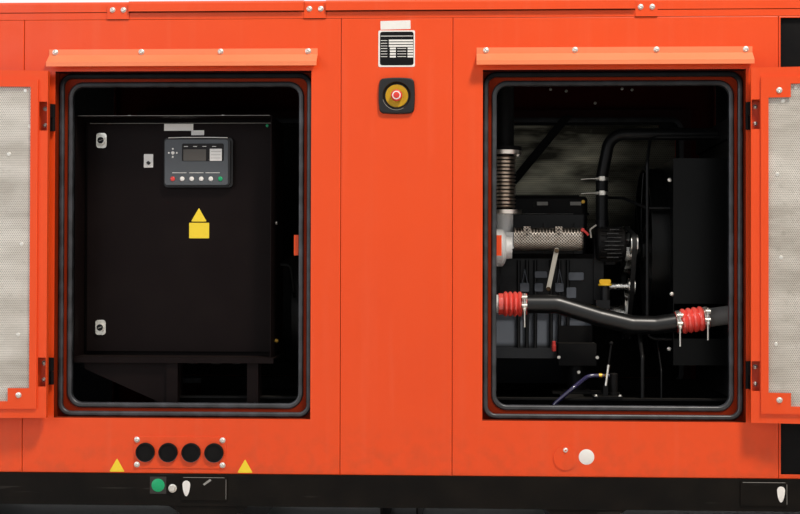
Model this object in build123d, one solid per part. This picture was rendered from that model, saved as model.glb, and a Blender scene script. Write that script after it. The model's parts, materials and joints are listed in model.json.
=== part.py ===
from build123d import *
import os

# Overall sizes of the enclosure, in millimetres
LENGTH = 4000.0
WIDTH = 1300.0
PANEL_HEIGHT = 1520.0

# Clearance between pieces that seat on each other
SEAT = 0.3

# Base frame
RAIL_BOTTOM = 150.0
RAIL_HEIGHT = 106.0
RAIL_FLANGE = 60.0
RAIL_WALL = 6.0
RAIL_PROUD = 5.0
FOOT_WIDTH = 130.0
FOOT_INSET = 190.0
MIDDLE_FOOT = 420.0
FLOOR_SHEET = 3.0
FORK_SPREAD = 1252.0
FORK_WIDTH = 185.0
FORK_HEIGHT = 122.0
FORK_WALL = 8.0
FORK_TAPER = 42.0
PAD_SIZE = (152.0, 76.0, 6.0)
PAD_PLACES = (-639.0, 1206.0)

# Side panels
SHEET = 3.0
BEND = 3.0
JOINT = 0.9
CENTRE_WIDTH = 372.0
SURROUND_WIDTH = 1070.0
FOLD = 25.0
INSET_RIM = 6.0
INSET_DEPTH = 12.0
VENT_MARGIN = 110.0
BLADE_FRAME = 20.0

# Door openings
OPENING_WIDTH = 864.0
OPENING_HEIGHT = 1162.0
OPENING_SILL = 184.0
OPENING_MARGIN = 99.5
JOGGLE_DEPTH = 52.0
SEAL_LAND = 38.5
CORNER_RADIUS = 45.0
OUTER_SEAL = (18.0, 13.0)
INNER_SEAL = (18.0, 20.0)
SEAL_ROUND = 6.5
SEAL_CLEARANCE = 0.5

# Doors
DOOR_GAP = 5.0
DOOR_DEPTH = 38.0
DOOR_SKIN = 2.0
DOOR_BAND = 31.0
DOOR_FRAME = 24.0
DOOR_FRAME_RISE = 8.0
LINER_RECESS = 10.5
LINER_SHEET = 1.5
WOOL = 28.0
HINGE_SPREAD = 849.0
HINGE_HEIGHT = 90.0
HINGE_PROUD = 12.0
HINGE_SET_IN = 3.5
KNUCKLE_RADIUS = 7.0
KNUCKLE_GAP = 0.5
PIN_RADIUS = 4.0
PIN_CLEARANCE = 0.3
LEAF = (32.0, 4.0)
SLOT_WIDTH = 26.0
LEFT_OPEN = 175.0
RIGHT_OPEN = 172.0
TAB = (72.0, 46.0, 2.0)
STRIKER = (26.0, 69.0, 22.0)
LATCH_SIZE = (150.0, 105.0)
LATCH_DEPTH = 16.0

# Rain gutters over the doors
GUTTER_MARGIN = 42.0
GUTTER_LIFT = 12.0
GUTTER_HEIGHT = 62.0
GUTTER_REACH = 40.0
GUTTER_LIP = 14.0
GUTTER_SHEET = 2.5

# Stay in a rear doorway
STAY_REACH = (300.0, 360.0)
STAY_WIDTH = 42.0
STAY_SHEET = 4.0

# Roof
ROOF_FRAME_HEIGHT = 60.0
ROOF_LIP_RISE = 25.0
ROOF_SHELF = 42.0
ROOF_WEB_INSET = 20.0
ROOF_BAND = 22.0
ROOF_OVERHANG = 12.0
ROOF_CAMBER = 14.0
ROOF_SEAMS = (-937.0, -274.0, 824.0)
CLIP_SIZE = (73.0, 47.0, 4.0)

# Control cabinet
CABINET_WIDTH = 674.0
CABINET_HEIGHT = 825.0
CABINET_DEPTH = 330.0
CABINET_SHEET = 2.0
CABINET_FRONT_GAP = 90.0
CABINET_RIGHT = 431.0
CABINET_BOTTOM = 382.0
RIM_DEPTH = 105.0
RIM_FOLD = 13.0
CABINET_DOOR_GAP = 3.0
CABINET_DOOR_DEPTH = 20.0
CONTROLLER_SIZE = (240.0, 172.0, 26.0)
TRAY_SHEET = 4.0
TRAY_PROUD = 5.0
TRAY_LIP = 18.0
POST_PLACES = (317.0, 593.0)
GLAND_PLACES = (385.0, 470.0, 545.0)
GLAND_DEPTH = 110.0
GLAND_NUT = (24.0, 9.0)
GLAND_CAP = (20.0, 15.0, 6.0)
CABINET_PIN = 2.5
CABINET_KNUCKLE = (5.0, 18.0)
CONTROLLER_PLACE = (288.0, 68.0)
BEZEL_SHARE = 0.6
LOCK_HEIGHTS = (98.0, 76.0)
LOCK_PLACE = 65.0
LOCK_PLATE = (36.0, 52.0, 3.0)
LOCK_KNOB = (13.0, 11.0)
CABLE_HEIGHT = 956.0
CABLE_RADIUS = 8.0
CONDUIT_HEIGHT = 742.0
CONDUIT_RADIUS = 7.0
WIRE_HEIGHT = 698.0
WIRE_RADIUS = 3.0
POST = 38.0

# Machine inside
CRANK_HEIGHT = 780.0
BLOCK_START = 120.0
BLOCK_LENGTH = 570.0
BLOCK_WIDTH = 340.0
HEAD_TOP = 1142.0
ALTERNATOR_LENGTH = 420.0
ALTERNATOR_RADIUS = 235.0
HOUSING_RADIUS = 250.0
SKID_HEIGHT = 247.0
SKID_SPREAD = 900.0
SKID_FLANGE = 52.0
FAN_HEIGHT = 1015.0
FAN_RADIUS = 285.0
FAN_TIP_GAP = 15.0
FAN_SHAFT = 25.0
BELT_PLANE = 825.0
SHROUD_START = 950.0
CORE_START = 1150.0
CORE_DEPTH = 80.0
CORE_HALF = 370.0
CORE_Z = (600.0, 1400.0)
TANK_TOP = 1470.0
TANK_REACH = 12.0
CHARGE_SIDE = 425.0
CHARGE_RADIUS = 32.0
CHARGE_START = 343.0
CHARGE_LINE = 822.0
HUMP_RADIUS = 44.0
HUMPS = 4
HOSE_CUFF = 16.0
HOSE_LENGTH = 97.0
COOLER_DEPTH = 58.0
BELLOWS_CENTRE = (362.0, -250.0)
RISER_RADIUS = 38.0
RISER_TOP = 120.0

RIGHT_HOSE = ((952.0, -CHARGE_SIDE, 761.0), (1062.0, -CHARGE_SIDE, 777.0))

# Details of the engine
DECK = 1000.0
SUMP_TOP = 800.0
RIB_BOTTOM = 660.0
RIB_GROUPS = (95.0, 330.0, 447.0)
RIB_PITCH = 30.0
RIB_HALF = 6.5
RIB_REACH = 22.0
RIB_ROOT = 2.0
HEAD_RIB = 8.0
BOSS_PLACES = (28.0, 262.0, 388.0)
COVER_DEPTH = 35.0
COVER_HEIGHT = 70.0
HOUSING_DEPTH = 100.0
TURBO_CENTRE = (292.0, -320.0, 1018.0)
BELLOWS_SPAN = (1140.0, 1366.0)
BELLOWS_FLANGE = (66.0, 14.0)
BELLOWS_NECK = 38.0
BELLOWS_WAVE = 46.0
BELLOWS_WAVES = 14
SHIELD_SPAN = (399.0, 646.0)
SHIELD_CENTRE = (-265.0, 1050.0)
SHIELD_SIZE = (90.0, 82.0, 34.0)
STRAP_PLACES = (445.0, 557.0)
MOUNT_SPAN = (557.0, 690.0)
MOUNT_REACH = 135.0
MOUNT_HEIGHT = 178.0
MOUNT_DROP = 78.0
RUBBER_RADIUS = 32.0
CAP_PLACE = (722.0, -280.0, 884.0)
CHARGER_PLACE = (-260.0, 1033.0)
HOSE_START = (722.0, -150.0)
HOSE_RADIUS = 22.0
PULLEY_WIDTH = 24.0
BELT_WIDTH = 16.0
BELT_THICK = 5.0
RING_DEPTH = 65.0
BLADES = 7
NOTCH_SPAN = (703.0, 824.0)

# Hand pump for the sump oil
PUMP_PIVOT = (706.0, -480.0, 537.0)
PUMP_RADIUS = 14.0
PUMP_TOP = 587.0
PUMP_BACK = 24.0
PUMP_ASIDE = 30.0
PUMP_PLATE = 8.0
LEVER_PIN = 3.0
LEVER_THICK = 8.0
LEVER_TIP = (20.0, 153.0)
PUMP_HOSE = 7.0

# Small fittings on the sides
STOP_CENTRE = 1260.0
STOP_SIZE = 121.0
STOP_TRAVEL = 6.0
STOP_DISC = 38.0
STOP_RISE = 12.0
STEM_RADIUS = 11.0
GLAND_PLATE = (310.0, 106.0)
GLAND_CENTRE = (-722.0, 71.0)
PLUG_RADIUS = 32.0
PLUG_PITCH = 77.0
PLUG_RISE = 10.0
DRAIN_CENTRE = (560.0, 63.0)
DRAIN_RADIUS = 40.0
DRAIN_PIVOT = 26.0
SCREW_RADIUS = 4.0
ANCHOR_HOLE = 18.0
ANCHOR_MARGIN = 60.0

# Planes that follow from the sizes above
SIDE = WIDTH / 2
END = LENGTH / 2
RAIL_TOP = RAIL_BOTTOM + RAIL_HEIGHT
PANEL_BOTTOM = RAIL_TOP + SEAT
PANEL_TOP = PANEL_BOTTOM + PANEL_HEIGHT
ROOF_EDGE = PANEL_TOP + ROOF_FRAME_HEIGHT
CENTRE_EDGE = CENTRE_WIDTH / 2
SURROUND_EDGE = CENTRE_EDGE + SURROUND_WIDTH
OPENING_X = (CENTRE_EDGE + OPENING_MARGIN, CENTRE_EDGE + OPENING_MARGIN + OPENING_WIDTH)
OPENING_Z = (PANEL_BOTTOM + OPENING_SILL, PANEL_BOTTOM + OPENING_SILL + OPENING_HEIGHT)
OPENING_MIDDLE = sum(OPENING_Z) / 2
LAND = -SIDE + JOGGLE_DEPTH
DOOR_X = (OPENING_X[0] + DOOR_GAP, OPENING_X[1] - DOOR_GAP)
DOOR_Z = (OPENING_Z[0] + DOOR_GAP, OPENING_Z[1] - DOOR_GAP)
HINGE_X = OPENING_X[1] + HINGE_SET_IN
HINGE_Y = -SIDE - HINGE_PROUD
FLOOR_TOP = RAIL_TOP
SKID_TOP = FLOOR_TOP + SKID_HEIGHT


def block(x, y, z):
    """A box between the two values given for each axis."""
    centre = Pos((x[0] + x[1]) / 2, (y[0] + y[1]) / 2, (z[0] + z[1]) / 2)
    return centre * Box(x[1] - x[0], y[1] - y[0], z[1] - z[0])


def window(x, z, radius=0.0):
    """A rectangle between two values on each axis, its corners rounded if a radius is given."""
    width, height = x[1] - x[0], z[1] - z[0]
    shape = RectangleRounded(width, height, radius) if radius else Rectangle(width, height)
    return Pos((x[0] + x[1]) / 2, (z[0] + z[1]) / 2) * shape


def inset(span, amount):
    """The span moved in by an amount at both ends."""
    return (span[0] + amount, span[1] - amount)


def upright(outline, near, far):
    """An outline drawn in X and Z, filled from one Y value to a larger one."""
    return extrude(Plane.XZ.offset(-far) * outline, far - near)


def across(outline, start, end):
    """An outline drawn in Y and Z, filled from one X value to a larger one."""
    return extrude(Plane.YZ.offset(start) * outline, end - start)


def level(outline, low, high):
    """An outline drawn in X and Y, filled from one height to a larger one."""
    return extrude(Plane.XY.offset(low) * outline, high - low)


def left(piece):
    """The same piece on the left half."""
    return piece.mirror(Plane.YZ)


def rear(piece):
    """The same piece on the rear side."""
    return piece.mirror(Plane.XZ)


def four_ways(piece):
    """The piece in the four quarters of the enclosure."""
    return [piece, left(piece), rear(piece), rear(left(piece))]


def turned(piece, x, y, angle):
    """A piece swung about an upright axis through a point."""
    return Pos(x, y, 0) * Rot(0, 0, angle) * Pos(-x, -y, 0) * piece


def rod(start, end, radius):
    """A round bar between two points."""
    a, b = Vector(*start), Vector(*end)
    return extrude(Plane(origin=a, z_dir=b - a) * Circle(radius), (b - a).length)


def pipe(points, radius, bend):
    """A round bar along straight runs joined by arcs."""
    path = FilletPolyline(*points, radius=bend) if len(points) > 2 else Line(*points)
    start = Plane(origin=path @ 0, z_dir=path % 0)
    return sweep(start * Circle(radius), path)


def channel(depth, height, wall, opens):
    """A rolled channel's outline, its web at zero and its flanges reaching towards opens."""
    middle = opens * depth / 2
    hollow = Pos(middle + opens * wall / 2, height / 2) * Rectangle(depth - wall, height - 2 * wall)
    return Pos(middle, height / 2) * Rectangle(depth, height) - hollow


# Base frame, feet and fork pockets
def base_frame():
    """Two side channels, end channels, cross beams, floor sheet, feet and lifting pads."""
    face = SIDE + RAIL_PROUD
    rail = across(Pos(-face, RAIL_BOTTOM) * channel(RAIL_FLANGE, RAIL_HEIGHT, RAIL_WALL, 1), -END, END)
    frame = rail + rear(rail)
    inner = face - RAIL_WALL
    profile = Pos(END, RAIL_BOTTOM) * channel(RAIL_FLANGE, RAIL_HEIGHT, RAIL_WALL, -1)
    end_beam = upright(profile, -inner, inner)
    frame += end_beam + left(end_beam)
    reach = face - RAIL_FLANGE
    for place in (-FORK_SPREAD / 2, 0, FORK_SPREAD / 2):
        x = (place - FORK_WIDTH / 2, place + FORK_WIDTH / 2)
        frame += block(x, (-inner, inner), (RAIL_BOTTOM, RAIL_BOTTOM + RAIL_WALL))
    floor_x = inset((-END, END), RAIL_FLANGE)
    frame += block(floor_x, (-reach, reach), (RAIL_TOP - FLOOR_SHEET, RAIL_TOP))
    end_x = (END - FOOT_INSET - FOOT_WIDTH, END - FOOT_INSET)
    foot = block(end_x, (-SIDE, SIDE), (0, RAIL_BOTTOM))
    foot -= block(inset(end_x, RAIL_WALL), (-SIDE, SIDE), (RAIL_WALL, RAIL_BOTTOM - RAIL_WALL))
    frame += foot + left(foot)
    foot_x = (-FOOT_WIDTH / 2, FOOT_WIDTH / 2)
    middle_foot = block(foot_x, (-MIDDLE_FOOT, MIDDLE_FOOT), (0, RAIL_BOTTOM + RAIL_WALL))
    hollow = block(inset(foot_x, RAIL_WALL), (-SIDE, SIDE), (RAIL_WALL, RAIL_BOTTOM - RAIL_WALL))
    frame += middle_foot - hollow
    middle = RAIL_BOTTOM + RAIL_HEIGHT / 2 + 5
    for place in PAD_PLACES:
        pad = block(
            (place - PAD_SIZE[0] / 2, place + PAD_SIZE[0] / 2),
            (-face - PAD_SIZE[2], -face),
            (middle - PAD_SIZE[1] / 2, middle + PAD_SIZE[1] / 2),
        )
        frame += pad + rear(pad)
    hole = Cylinder(ANCHOR_HOLE / 2, 4 * RAIL_WALL)
    for x in (-sum(end_x) / 2, sum(end_x) / 2):
        for y in (ANCHOR_MARGIN - SIDE, SIDE - ANCHOR_MARGIN):
            frame -= Pos(x, y, 0) * hole
    return frame


def fork_pockets():
    """Two tubes across the base, open at both ends, with spreading cheeks welded to the rails."""
    pockets = []
    for place in (-FORK_SPREAD / 2, FORK_SPREAD / 2):
        x = (place - FORK_WIDTH / 2, place + FORK_WIDTH / 2)
        tube = window(x, (0, FORK_HEIGHT)) - window(inset(x, FORK_WALL), inset((0, FORK_HEIGHT), FORK_WALL))
        body = upright(tube, -SIDE, SIDE)
        low = FORK_HEIGHT
        cheek = make_face(
            Polyline(
                (x[0], low),
                (x[0] - FORK_TAPER, RAIL_BOTTOM),
                (x[1] + FORK_TAPER, RAIL_BOTTOM),
                (x[1], low),
                close=True,
            )
        )
        cheek = upright(cheek, -SIDE, -SIDE + FORK_WALL)
        pockets.append(body + cheek + rear(cheek))
    return pockets


def fuel_tank():
    """The tank between the machine's skid rails."""
    half = SKID_SPREAD / 2 - 4
    tank = block((-700, 900), (-half, half), (FLOOR_TOP, SKID_TOP - 40))
    return fillet(tank.edges().filter_by(Axis.X), 20)


# Side panels
def folded_panel(x, z):
    """A flat panel with its four edges folded inwards, on the photographed side."""
    slab = upright(window(x, z), -SIDE, -SIDE + FOLD)
    slab = fillet(slab.faces().sort_by(Axis.Y)[0].edges(), BEND)
    return slab - upright(window(inset(x, SHEET), inset(z, SHEET)), -SIDE + SHEET, -SIDE + FOLD)


def door_surround():
    """A panel with the joggled opening that a door closes, its sealing land and its striker."""
    x = (CENTRE_EDGE + JOINT / 2, SURROUND_EDGE - JOINT / 2)
    z = (PANEL_BOTTOM, PANEL_TOP)
    hole = window(OPENING_X, OPENING_Z)
    panel = folded_panel(x, z) - upright(hole, -SIDE, -SIDE + SHEET)
    outside = window(inset(OPENING_X, -SHEET), inset(OPENING_Z, -SHEET))
    panel += upright(outside - hole, -SIDE, LAND + SHEET)
    inner = window(inset(OPENING_X, SEAL_LAND), inset(OPENING_Z, SEAL_LAND), CORNER_RADIUS)
    panel += upright(hole - inner, LAND, LAND + SHEET)
    return panel + striker()


def striker():
    """The stepped catch plate behind the land that a door's latch bears on."""
    t = SHEET
    foot = OPENING_X[0] + 2
    wall = OPENING_X[0] + SEAL_LAND - INNER_SEAL[0] / 2 - 1
    tip = OPENING_X[0] + SEAL_LAND + STRIKER[0]
    back = LAND + t
    shelf = LAND + INNER_SEAL[1]
    outline = Polyline(
        (foot, back),
        (wall, back),
        (wall, shelf - t),
        (tip, shelf - t),
        (tip, shelf + STRIKER[2]),
        (tip - t, shelf + STRIKER[2]),
        (tip - t, shelf),
        (wall - t, shelf),
        (wall - t, back + t),
        (foot, back + t),
        close=True,
    )
    return level(make_face(outline), OPENING_MIDDLE - STRIKER[1] / 2, OPENING_MIDDLE + STRIKER[1] / 2)


def door_seals():
    """The outer seal on the land and the inner seal that grips the opening's edge."""
    width, depth = OUTER_SEAL
    x, z = inset(OPENING_X, 1), inset(OPENING_Z, 1)
    outer = window(x, z, CORNER_RADIUS) - window(inset(x, width), inset(z, width), CORNER_RADIUS - width)
    bulb = upright(outer, LAND - depth, LAND)
    loops = [fillet(bulb.faces().sort_by(Axis.Y)[0].edges(), SEAL_ROUND)]
    width, depth = INNER_SEAL
    edge_x, edge_z = inset(OPENING_X, SEAL_LAND), inset(OPENING_Z, SEAL_LAND)
    half = width / 2
    big = window(inset(edge_x, -half), inset(edge_z, -half), CORNER_RADIUS + half)
    small = window(inset(edge_x, half), inset(edge_z, half), CORNER_RADIUS - half)
    front = seal_front()
    grip = upright(big - small, front, front + depth)
    grip = fillet(grip.faces().sort_by(Axis.Y)[0].edges(), SEAL_ROUND)
    groove = big - window(edge_x, edge_z, CORNER_RADIUS)
    loops.append(grip - upright(groove, LAND - 0.2, LAND + SHEET + 0.2))
    return loops


def seal_front():
    """The Y value of the inner seal's front, just clear of a closed door's frame."""
    return LAND - (JOGGLE_DEPTH - DOOR_DEPTH - DOOR_FRAME_RISE) + SEAL_CLEARANCE


def side_panels():
    """The plain centre panel and the two end bay panels of the photographed side."""
    z = (PANEL_BOTTOM, PANEL_TOP)
    centre = folded_panel((-CENTRE_EDGE + JOINT / 2, CENTRE_EDGE - JOINT / 2), z)
    stem = Pos(0, PANEL_BOTTOM + STOP_CENTRE) * Circle(STEM_RADIUS + SEAT)
    bay_x = (SURROUND_EDGE + JOINT / 2, END)
    bay = folded_panel(bay_x, z)
    hole = upright(window(inset(bay_x, INSET_RIM), (z[0] + 15, z[1] - INSET_RIM)), -SIDE, -SIDE + SHEET)
    return [centre, left(bay), bay - hole, centre - upright(stem, -SIDE, -SIDE + SHEET)]


def bay_insert():
    """The flat panel set back in the right end bay."""
    x = inset((SURROUND_EDGE + JOINT / 2, END), SHEET + SEAT)
    z = inset((PANEL_BOTTOM, PANEL_TOP), SHEET + SEAT)
    return upright(window(x, z), -SIDE + INSET_DEPTH, -SIDE + INSET_DEPTH + SHEET)


def end_wall():
    """The right end wall, with the framed opening that the grille closes."""
    y = inset((-SIDE, SIDE), FOLD + SEAT)
    z = (PANEL_BOTTOM, PANEL_TOP)
    wall = across(window(y, z), END - SHEET, END)
    wall += across(window(y, z) - window(inset(y, SHEET), inset(z, SHEET)), END - FOLD, END)
    return wall - across(window(inset(y, VENT_MARGIN), inset(z, VENT_MARGIN)), END - FOLD, END)


def end_blades(pitch, lean):
    """Slanted blades in a frame that fills the right end wall's opening."""
    y = inset((-SIDE, SIDE), FOLD + SEAT + VENT_MARGIN + SEAT)
    z = inset((PANEL_BOTTOM, PANEL_TOP), VENT_MARGIN + SEAT)
    start = END - FOLD
    frame = across(window(y, z) - window(inset(y, BLADE_FRAME), inset(z, BLADE_FRAME)), start, END)
    count = int((z[1] - z[0] - 2 * BLADE_FRAME) // pitch)
    step = (z[1] - z[0] - 2 * BLADE_FRAME) / count
    for index in range(count):
        low = z[0] + BLADE_FRAME + index * step + 4
        outline = Polyline(
            (start + 3, low + lean),
            (END - 3, low),
            (END - 3, low + SHEET),
            (start + 3, low + lean + SHEET),
            close=True,
        )
        frame += upright(make_face(outline), y[0] + BLADE_FRAME - 1, y[1] - BLADE_FRAME + 1)
    return frame


def rain_gutter():
    """An angled strip over a door that throws rain clear of it."""
    x = inset(OPENING_X, -GUTTER_MARGIN / 2)
    low = OPENING_Z[1] + GUTTER_LIFT
    top = low + GUTTER_HEIGHT
    shoulder = low + GUTTER_LIP
    bend = top - 20
    s = GUTTER_SHEET
    outline = Polyline(
        (-SIDE, top),
        (-SIDE, bend - s),
        (-SIDE - GUTTER_REACH + s, shoulder - s),
        (-SIDE - GUTTER_REACH + s, low),
        (-SIDE - GUTTER_REACH, low),
        (-SIDE - GUTTER_REACH, shoulder),
        (-SIDE - s, bend),
        (-SIDE - s, top),
        close=True,
    )
    return across(make_face(outline), *x)


# Doors
def door_leaf():
    """The closed right door: skin, returns, band, raised frame, upper knuckles and leaves."""
    x, z = DOOR_X, DOOR_Z
    whole = window(x, z)
    front = -SIDE
    back = front + DOOR_DEPTH
    raised = back + DOOR_FRAME_RISE
    t = DOOR_SKIN
    leaf = upright(whole, front, front + t)
    leaf += upright(whole - window(inset(x, t), inset(z, t)), front, back)
    band_x, band_z = inset(x, DOOR_BAND), inset(z, DOOR_BAND)
    band = whole - window(inset(band_x, t), inset(band_z, t))
    leaf += upright(band, back - t, back)
    inner_x, inner_z = inset(band_x, DOOR_FRAME), inset(band_z, DOOR_FRAME)
    leaf += upright(window(band_x, band_z) - window(inset(band_x, t), inset(band_z, t)), back - t, raised)
    leaf += upright(window(band_x, band_z) - window(inner_x, inner_z), raised - t, raised)
    lip = window(inset(inner_x, -t), inset(inner_z, -t)) - window(inner_x, inner_z)
    leaf += upright(lip, raised - LINER_RECESS, raised)
    for place in hinge_heights():
        slot_z = (place - HINGE_HEIGHT / 2 - 3, place + HINGE_HEIGHT / 2 + 3)
        slot = window((x[1] - t - SLOT_WIDTH, x[1] - t), slot_z)
        leaf -= upright(slot, back - t, back)
    return leaf


def liner_tabs(tops):
    """Corner tabs that hold the liner of a closed right door, with or without the top pair."""
    margin = DOOR_BAND + DOOR_FRAME
    x, z = inset(DOOR_X, margin - DOOR_SKIN), inset(DOOR_Z, margin - DOOR_SKIN)
    face = -SIDE + DOOR_DEPTH + DOOR_FRAME_RISE
    width, height, thick = TAB
    made = []
    for tab_x in ((x[0], x[0] + width), (x[1] - width, x[1])):
        for tab_z in ((z[0], z[0] + height), (z[1] - height, z[1]))[: 1 + tops]:
            made.append(upright(window(tab_x, tab_z), face - DOOR_SKIN, face - DOOR_SKIN + thick))
    return made


def hinge_heights():
    """The heights of the two hinges of a door."""
    return (OPENING_MIDDLE - HINGE_SPREAD / 2, OPENING_MIDDLE + HINGE_SPREAD / 2)


def hinge_leaves():
    """The upper halves of one closed right door's two hinges, on the door's skin."""
    leaves = []
    for place in hinge_heights():
        upper = (place + KNUCKLE_GAP, place + HINGE_HEIGHT / 2)
        knuckle = Pos(HINGE_X, HINGE_Y) * (Circle(KNUCKLE_RADIUS) - Circle(PIN_RADIUS + PIN_CLEARANCE))
        leaf = level(knuckle, *upper)
        web = window((HINGE_X - 10, HINGE_X), (HINGE_Y, -SIDE - KNUCKLE_GAP))
        web -= Pos(HINGE_X, HINGE_Y) * Circle(KNUCKLE_RADIUS - KNUCKLE_GAP)
        leaf += level(web, *upper)
        plate_x = (HINGE_X - 6 - LEAF[0], HINGE_X - 6)
        leaf += block(plate_x, (-SIDE - LEAF[1], -SIDE), (place - HINGE_HEIGHT / 2, place + HINGE_HEIGHT / 2))
        leaves.append(leaf)
    return leaves


def hinge_halves():
    """The fixed lower halves of one door's two hinges, with their pins."""
    halves = []
    for place in hinge_heights():
        lower = (place - HINGE_HEIGHT / 2, place - KNUCKLE_GAP)
        half = level(Pos(HINGE_X, HINGE_Y) * Circle(KNUCKLE_RADIUS), *lower)
        half += level(Pos(HINGE_X, HINGE_Y) * Circle(PIN_RADIUS), lower[1], place + HINGE_HEIGHT / 2 - 2)
        half += level(window((HINGE_X, HINGE_X + 8), (HINGE_Y, -SIDE)), *lower)
        plate_x = (HINGE_X + 4, HINGE_X + 4 + LEAF[0])
        half += block(plate_x, (-SIDE - LEAF[1], -SIDE), (place - HINGE_HEIGHT / 2, place + HINGE_HEIGHT / 2))
        halves.append(half)
    return halves


def door_liner():
    """The perforated sheet inside a closed right door, with the wool behind it."""
    margin = DOOR_BAND + DOOR_FRAME
    face = -SIDE + DOOR_DEPTH + DOOR_FRAME_RISE - LINER_RECESS
    x, z = inset(DOOR_X, margin - DOOR_SKIN), inset(DOOR_Z, margin - DOOR_SKIN)
    sheet = upright(window(x, z), face - LINER_SHEET, face)
    wool = upright(window(x, z), face - LINER_SHEET - WOOL, face - LINER_SHEET)
    return sheet + wool


def door_latch():
    """A paddle handle in its dish on the skin of a closed right door."""
    x = (DOOR_X[0] + 60, DOOR_X[0] + 60 + LATCH_SIZE[0])
    z = (OPENING_MIDDLE - LATCH_SIZE[1] / 2, OPENING_MIDDLE + LATCH_SIZE[1] / 2)
    dish = upright(window(x, z, 12), -SIDE - LATCH_DEPTH / 4, -SIDE)
    paddle = upright(window(inset(x, 14), inset(z, 22), 10), -SIDE - LATCH_DEPTH, -SIDE - LATCH_DEPTH / 4)
    return dish + paddle


def door_stay():
    """The slanted bar in the upper corner of the rear right doorway."""
    land = -seal_front() - INNER_SEAL[1] - SEAT
    x, z = inset(OPENING_X, SEAL_LAND), inset(OPENING_Z, SEAL_LAND)
    top = (x[0] + STAY_REACH[0], z[1] + 16)
    foot = (x[0] - 12, z[1] - STAY_REACH[1])
    bar = Polyline(
        (foot[0], foot[1]),
        (foot[0], foot[1] - STAY_WIDTH),
        (foot[0] + 12, foot[1] - STAY_WIDTH),
        (top[0] + STAY_WIDTH, top[1]),
        (top[0], top[1]),
        close=True,
    )
    return upright(make_face(bar), land - STAY_SHEET, land)


# Roof
def roof_profile(flush):
    """Half of a roof sheet's outline in Y and Z, from the lip to the ridge and back inside."""
    out = SIDE + (0 if flush else ROOF_OVERHANG)
    top = ROOF_EDGE
    low = PANEL_TOP + ROOF_LIP_RISE
    s = SHEET
    ridge = top + ROOF_CAMBER
    points = (
        (-out, low),
        (-out, top - 8),
        (-out + 8, top),
        (0, ridge),
        (out - 8, top),
        (out, top - 8),
        (out, low),
        (out - s, low),
        (out - s, top - 8 - s / 2),
        (out - 8 - s / 2, top - s),
        (0, ridge - s),
        (-out + 8 + s / 2, top - s),
        (-out + s, top - 8 - s / 2),
        (-out + s, low),
    )
    return make_face(Polyline(*points, close=True))


def four_bars(reach, width, z):
    """Four flat bars round the top, their outer faces at reach inside the side and end planes."""
    bars = []
    for side in (-1, 1):
        y = sorted((side * (SIDE - reach), side * (SIDE - reach - width)))
        bars.append(block((-END + reach, END - reach), y, z))
        x = sorted((side * (END - reach), side * (END - reach - width)))
        half = SIDE - reach - width - SEAT
        bars.append(block(x, (-half, half), z))
    return bars


def roof_frame():
    """The band, the shelf and the web round the top of the side panels that carry the roof sheets."""
    low = PANEL_TOP + SEAT
    shelf_top = low + SHEET
    bars = four_bars(0, SHEET, (low, low + ROOF_BAND))
    bars += four_bars(SHEET + SEAT, ROOF_SHELF, (low, shelf_top))
    bars += four_bars(ROOF_WEB_INSET, SHEET, (shelf_top + SEAT, ROOF_EDGE - SHEET))
    width, height, thick = CLIP_SIZE
    for place in ROOF_SEAMS:
        x = (place - width / 2, place + width / 2)
        clip = block(x, (-SIDE - SEAT - thick, -SIDE - SEAT), (low, low + height))
        bars += [clip, rear(clip)]
    return bars


def roof_section(start, end, flush):
    """One roof sheet along part of the length, with its end folds."""
    return across(roof_profile(flush), start + SEAT / 2, end - SEAT / 2)


def roof_gable():
    """The plate that closes the right end of the roof."""
    low = PANEL_TOP + ROOF_LIP_RISE
    points = (
        (-SIDE + SHEET, low),
        (-SIDE + SHEET, ROOF_EDGE - 8),
        (-SIDE + 8, ROOF_EDGE - SHEET),
        (0, ROOF_EDGE + ROOF_CAMBER - SHEET),
        (SIDE - 8, ROOF_EDGE - SHEET),
        (SIDE - SHEET, ROOF_EDGE - 8),
        (SIDE - SHEET, low),
    )
    return across(make_face(Polyline(*points, close=True)), END - SHEET, END - SEAT / 2)


# Control cabinet
def cabinet_spans():
    """The cabinet's outer limits along X, Y and Z."""
    x = (-CABINET_RIGHT - CABINET_WIDTH, -CABINET_RIGHT)
    front = -SIDE + CABINET_FRONT_GAP
    bottom = PANEL_BOTTOM + CABINET_BOTTOM
    return x, (front, front + CABINET_DEPTH), (bottom, bottom + CABINET_HEIGHT)


def cabinet_body():
    """A sheet box, open in front, with a deep rim round the door and a fold behind it."""
    x, y, z = cabinet_spans()
    t = CABINET_SHEET
    shell = upright(window(x, z) - window(inset(x, t), inset(z, t)), *y)
    shell += upright(window(x, z), y[1] - t, y[1])
    seat = y[0] + RIM_DEPTH + CABINET_DOOR_DEPTH + CABINET_DOOR_GAP
    back = 2 * RIM_FOLD - 1
    fold = window(x, z) - window(inset(x, back), inset(z, back))
    shell += upright(fold, seat, seat + t)
    for half in cabinet_hinges(True):
        shell += half
    return shell


def cabinet_door():
    """A pan-shaped door set back in the rim, hinged at its right edge."""
    x, y, z = cabinet_spans()
    x, z = inset(x, RIM_FOLD + CABINET_DOOR_GAP), inset(z, RIM_FOLD + CABINET_DOOR_GAP)
    front = y[0] + RIM_DEPTH
    t = CABINET_SHEET
    door = upright(window(x, z), front, front + t)
    door += upright(window(x, z) - window(inset(x, t), inset(z, t)), front, front + CABINET_DOOR_DEPTH)
    for half in cabinet_hinges(False):
        door += half
    return door


def cabinet_hinge_line():
    """The axis of the cabinet door in X and Y."""
    x, y, z = cabinet_spans()
    return x[1] - CABINET_SHEET - 7.5, y[0] + RIM_DEPTH - 1


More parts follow.
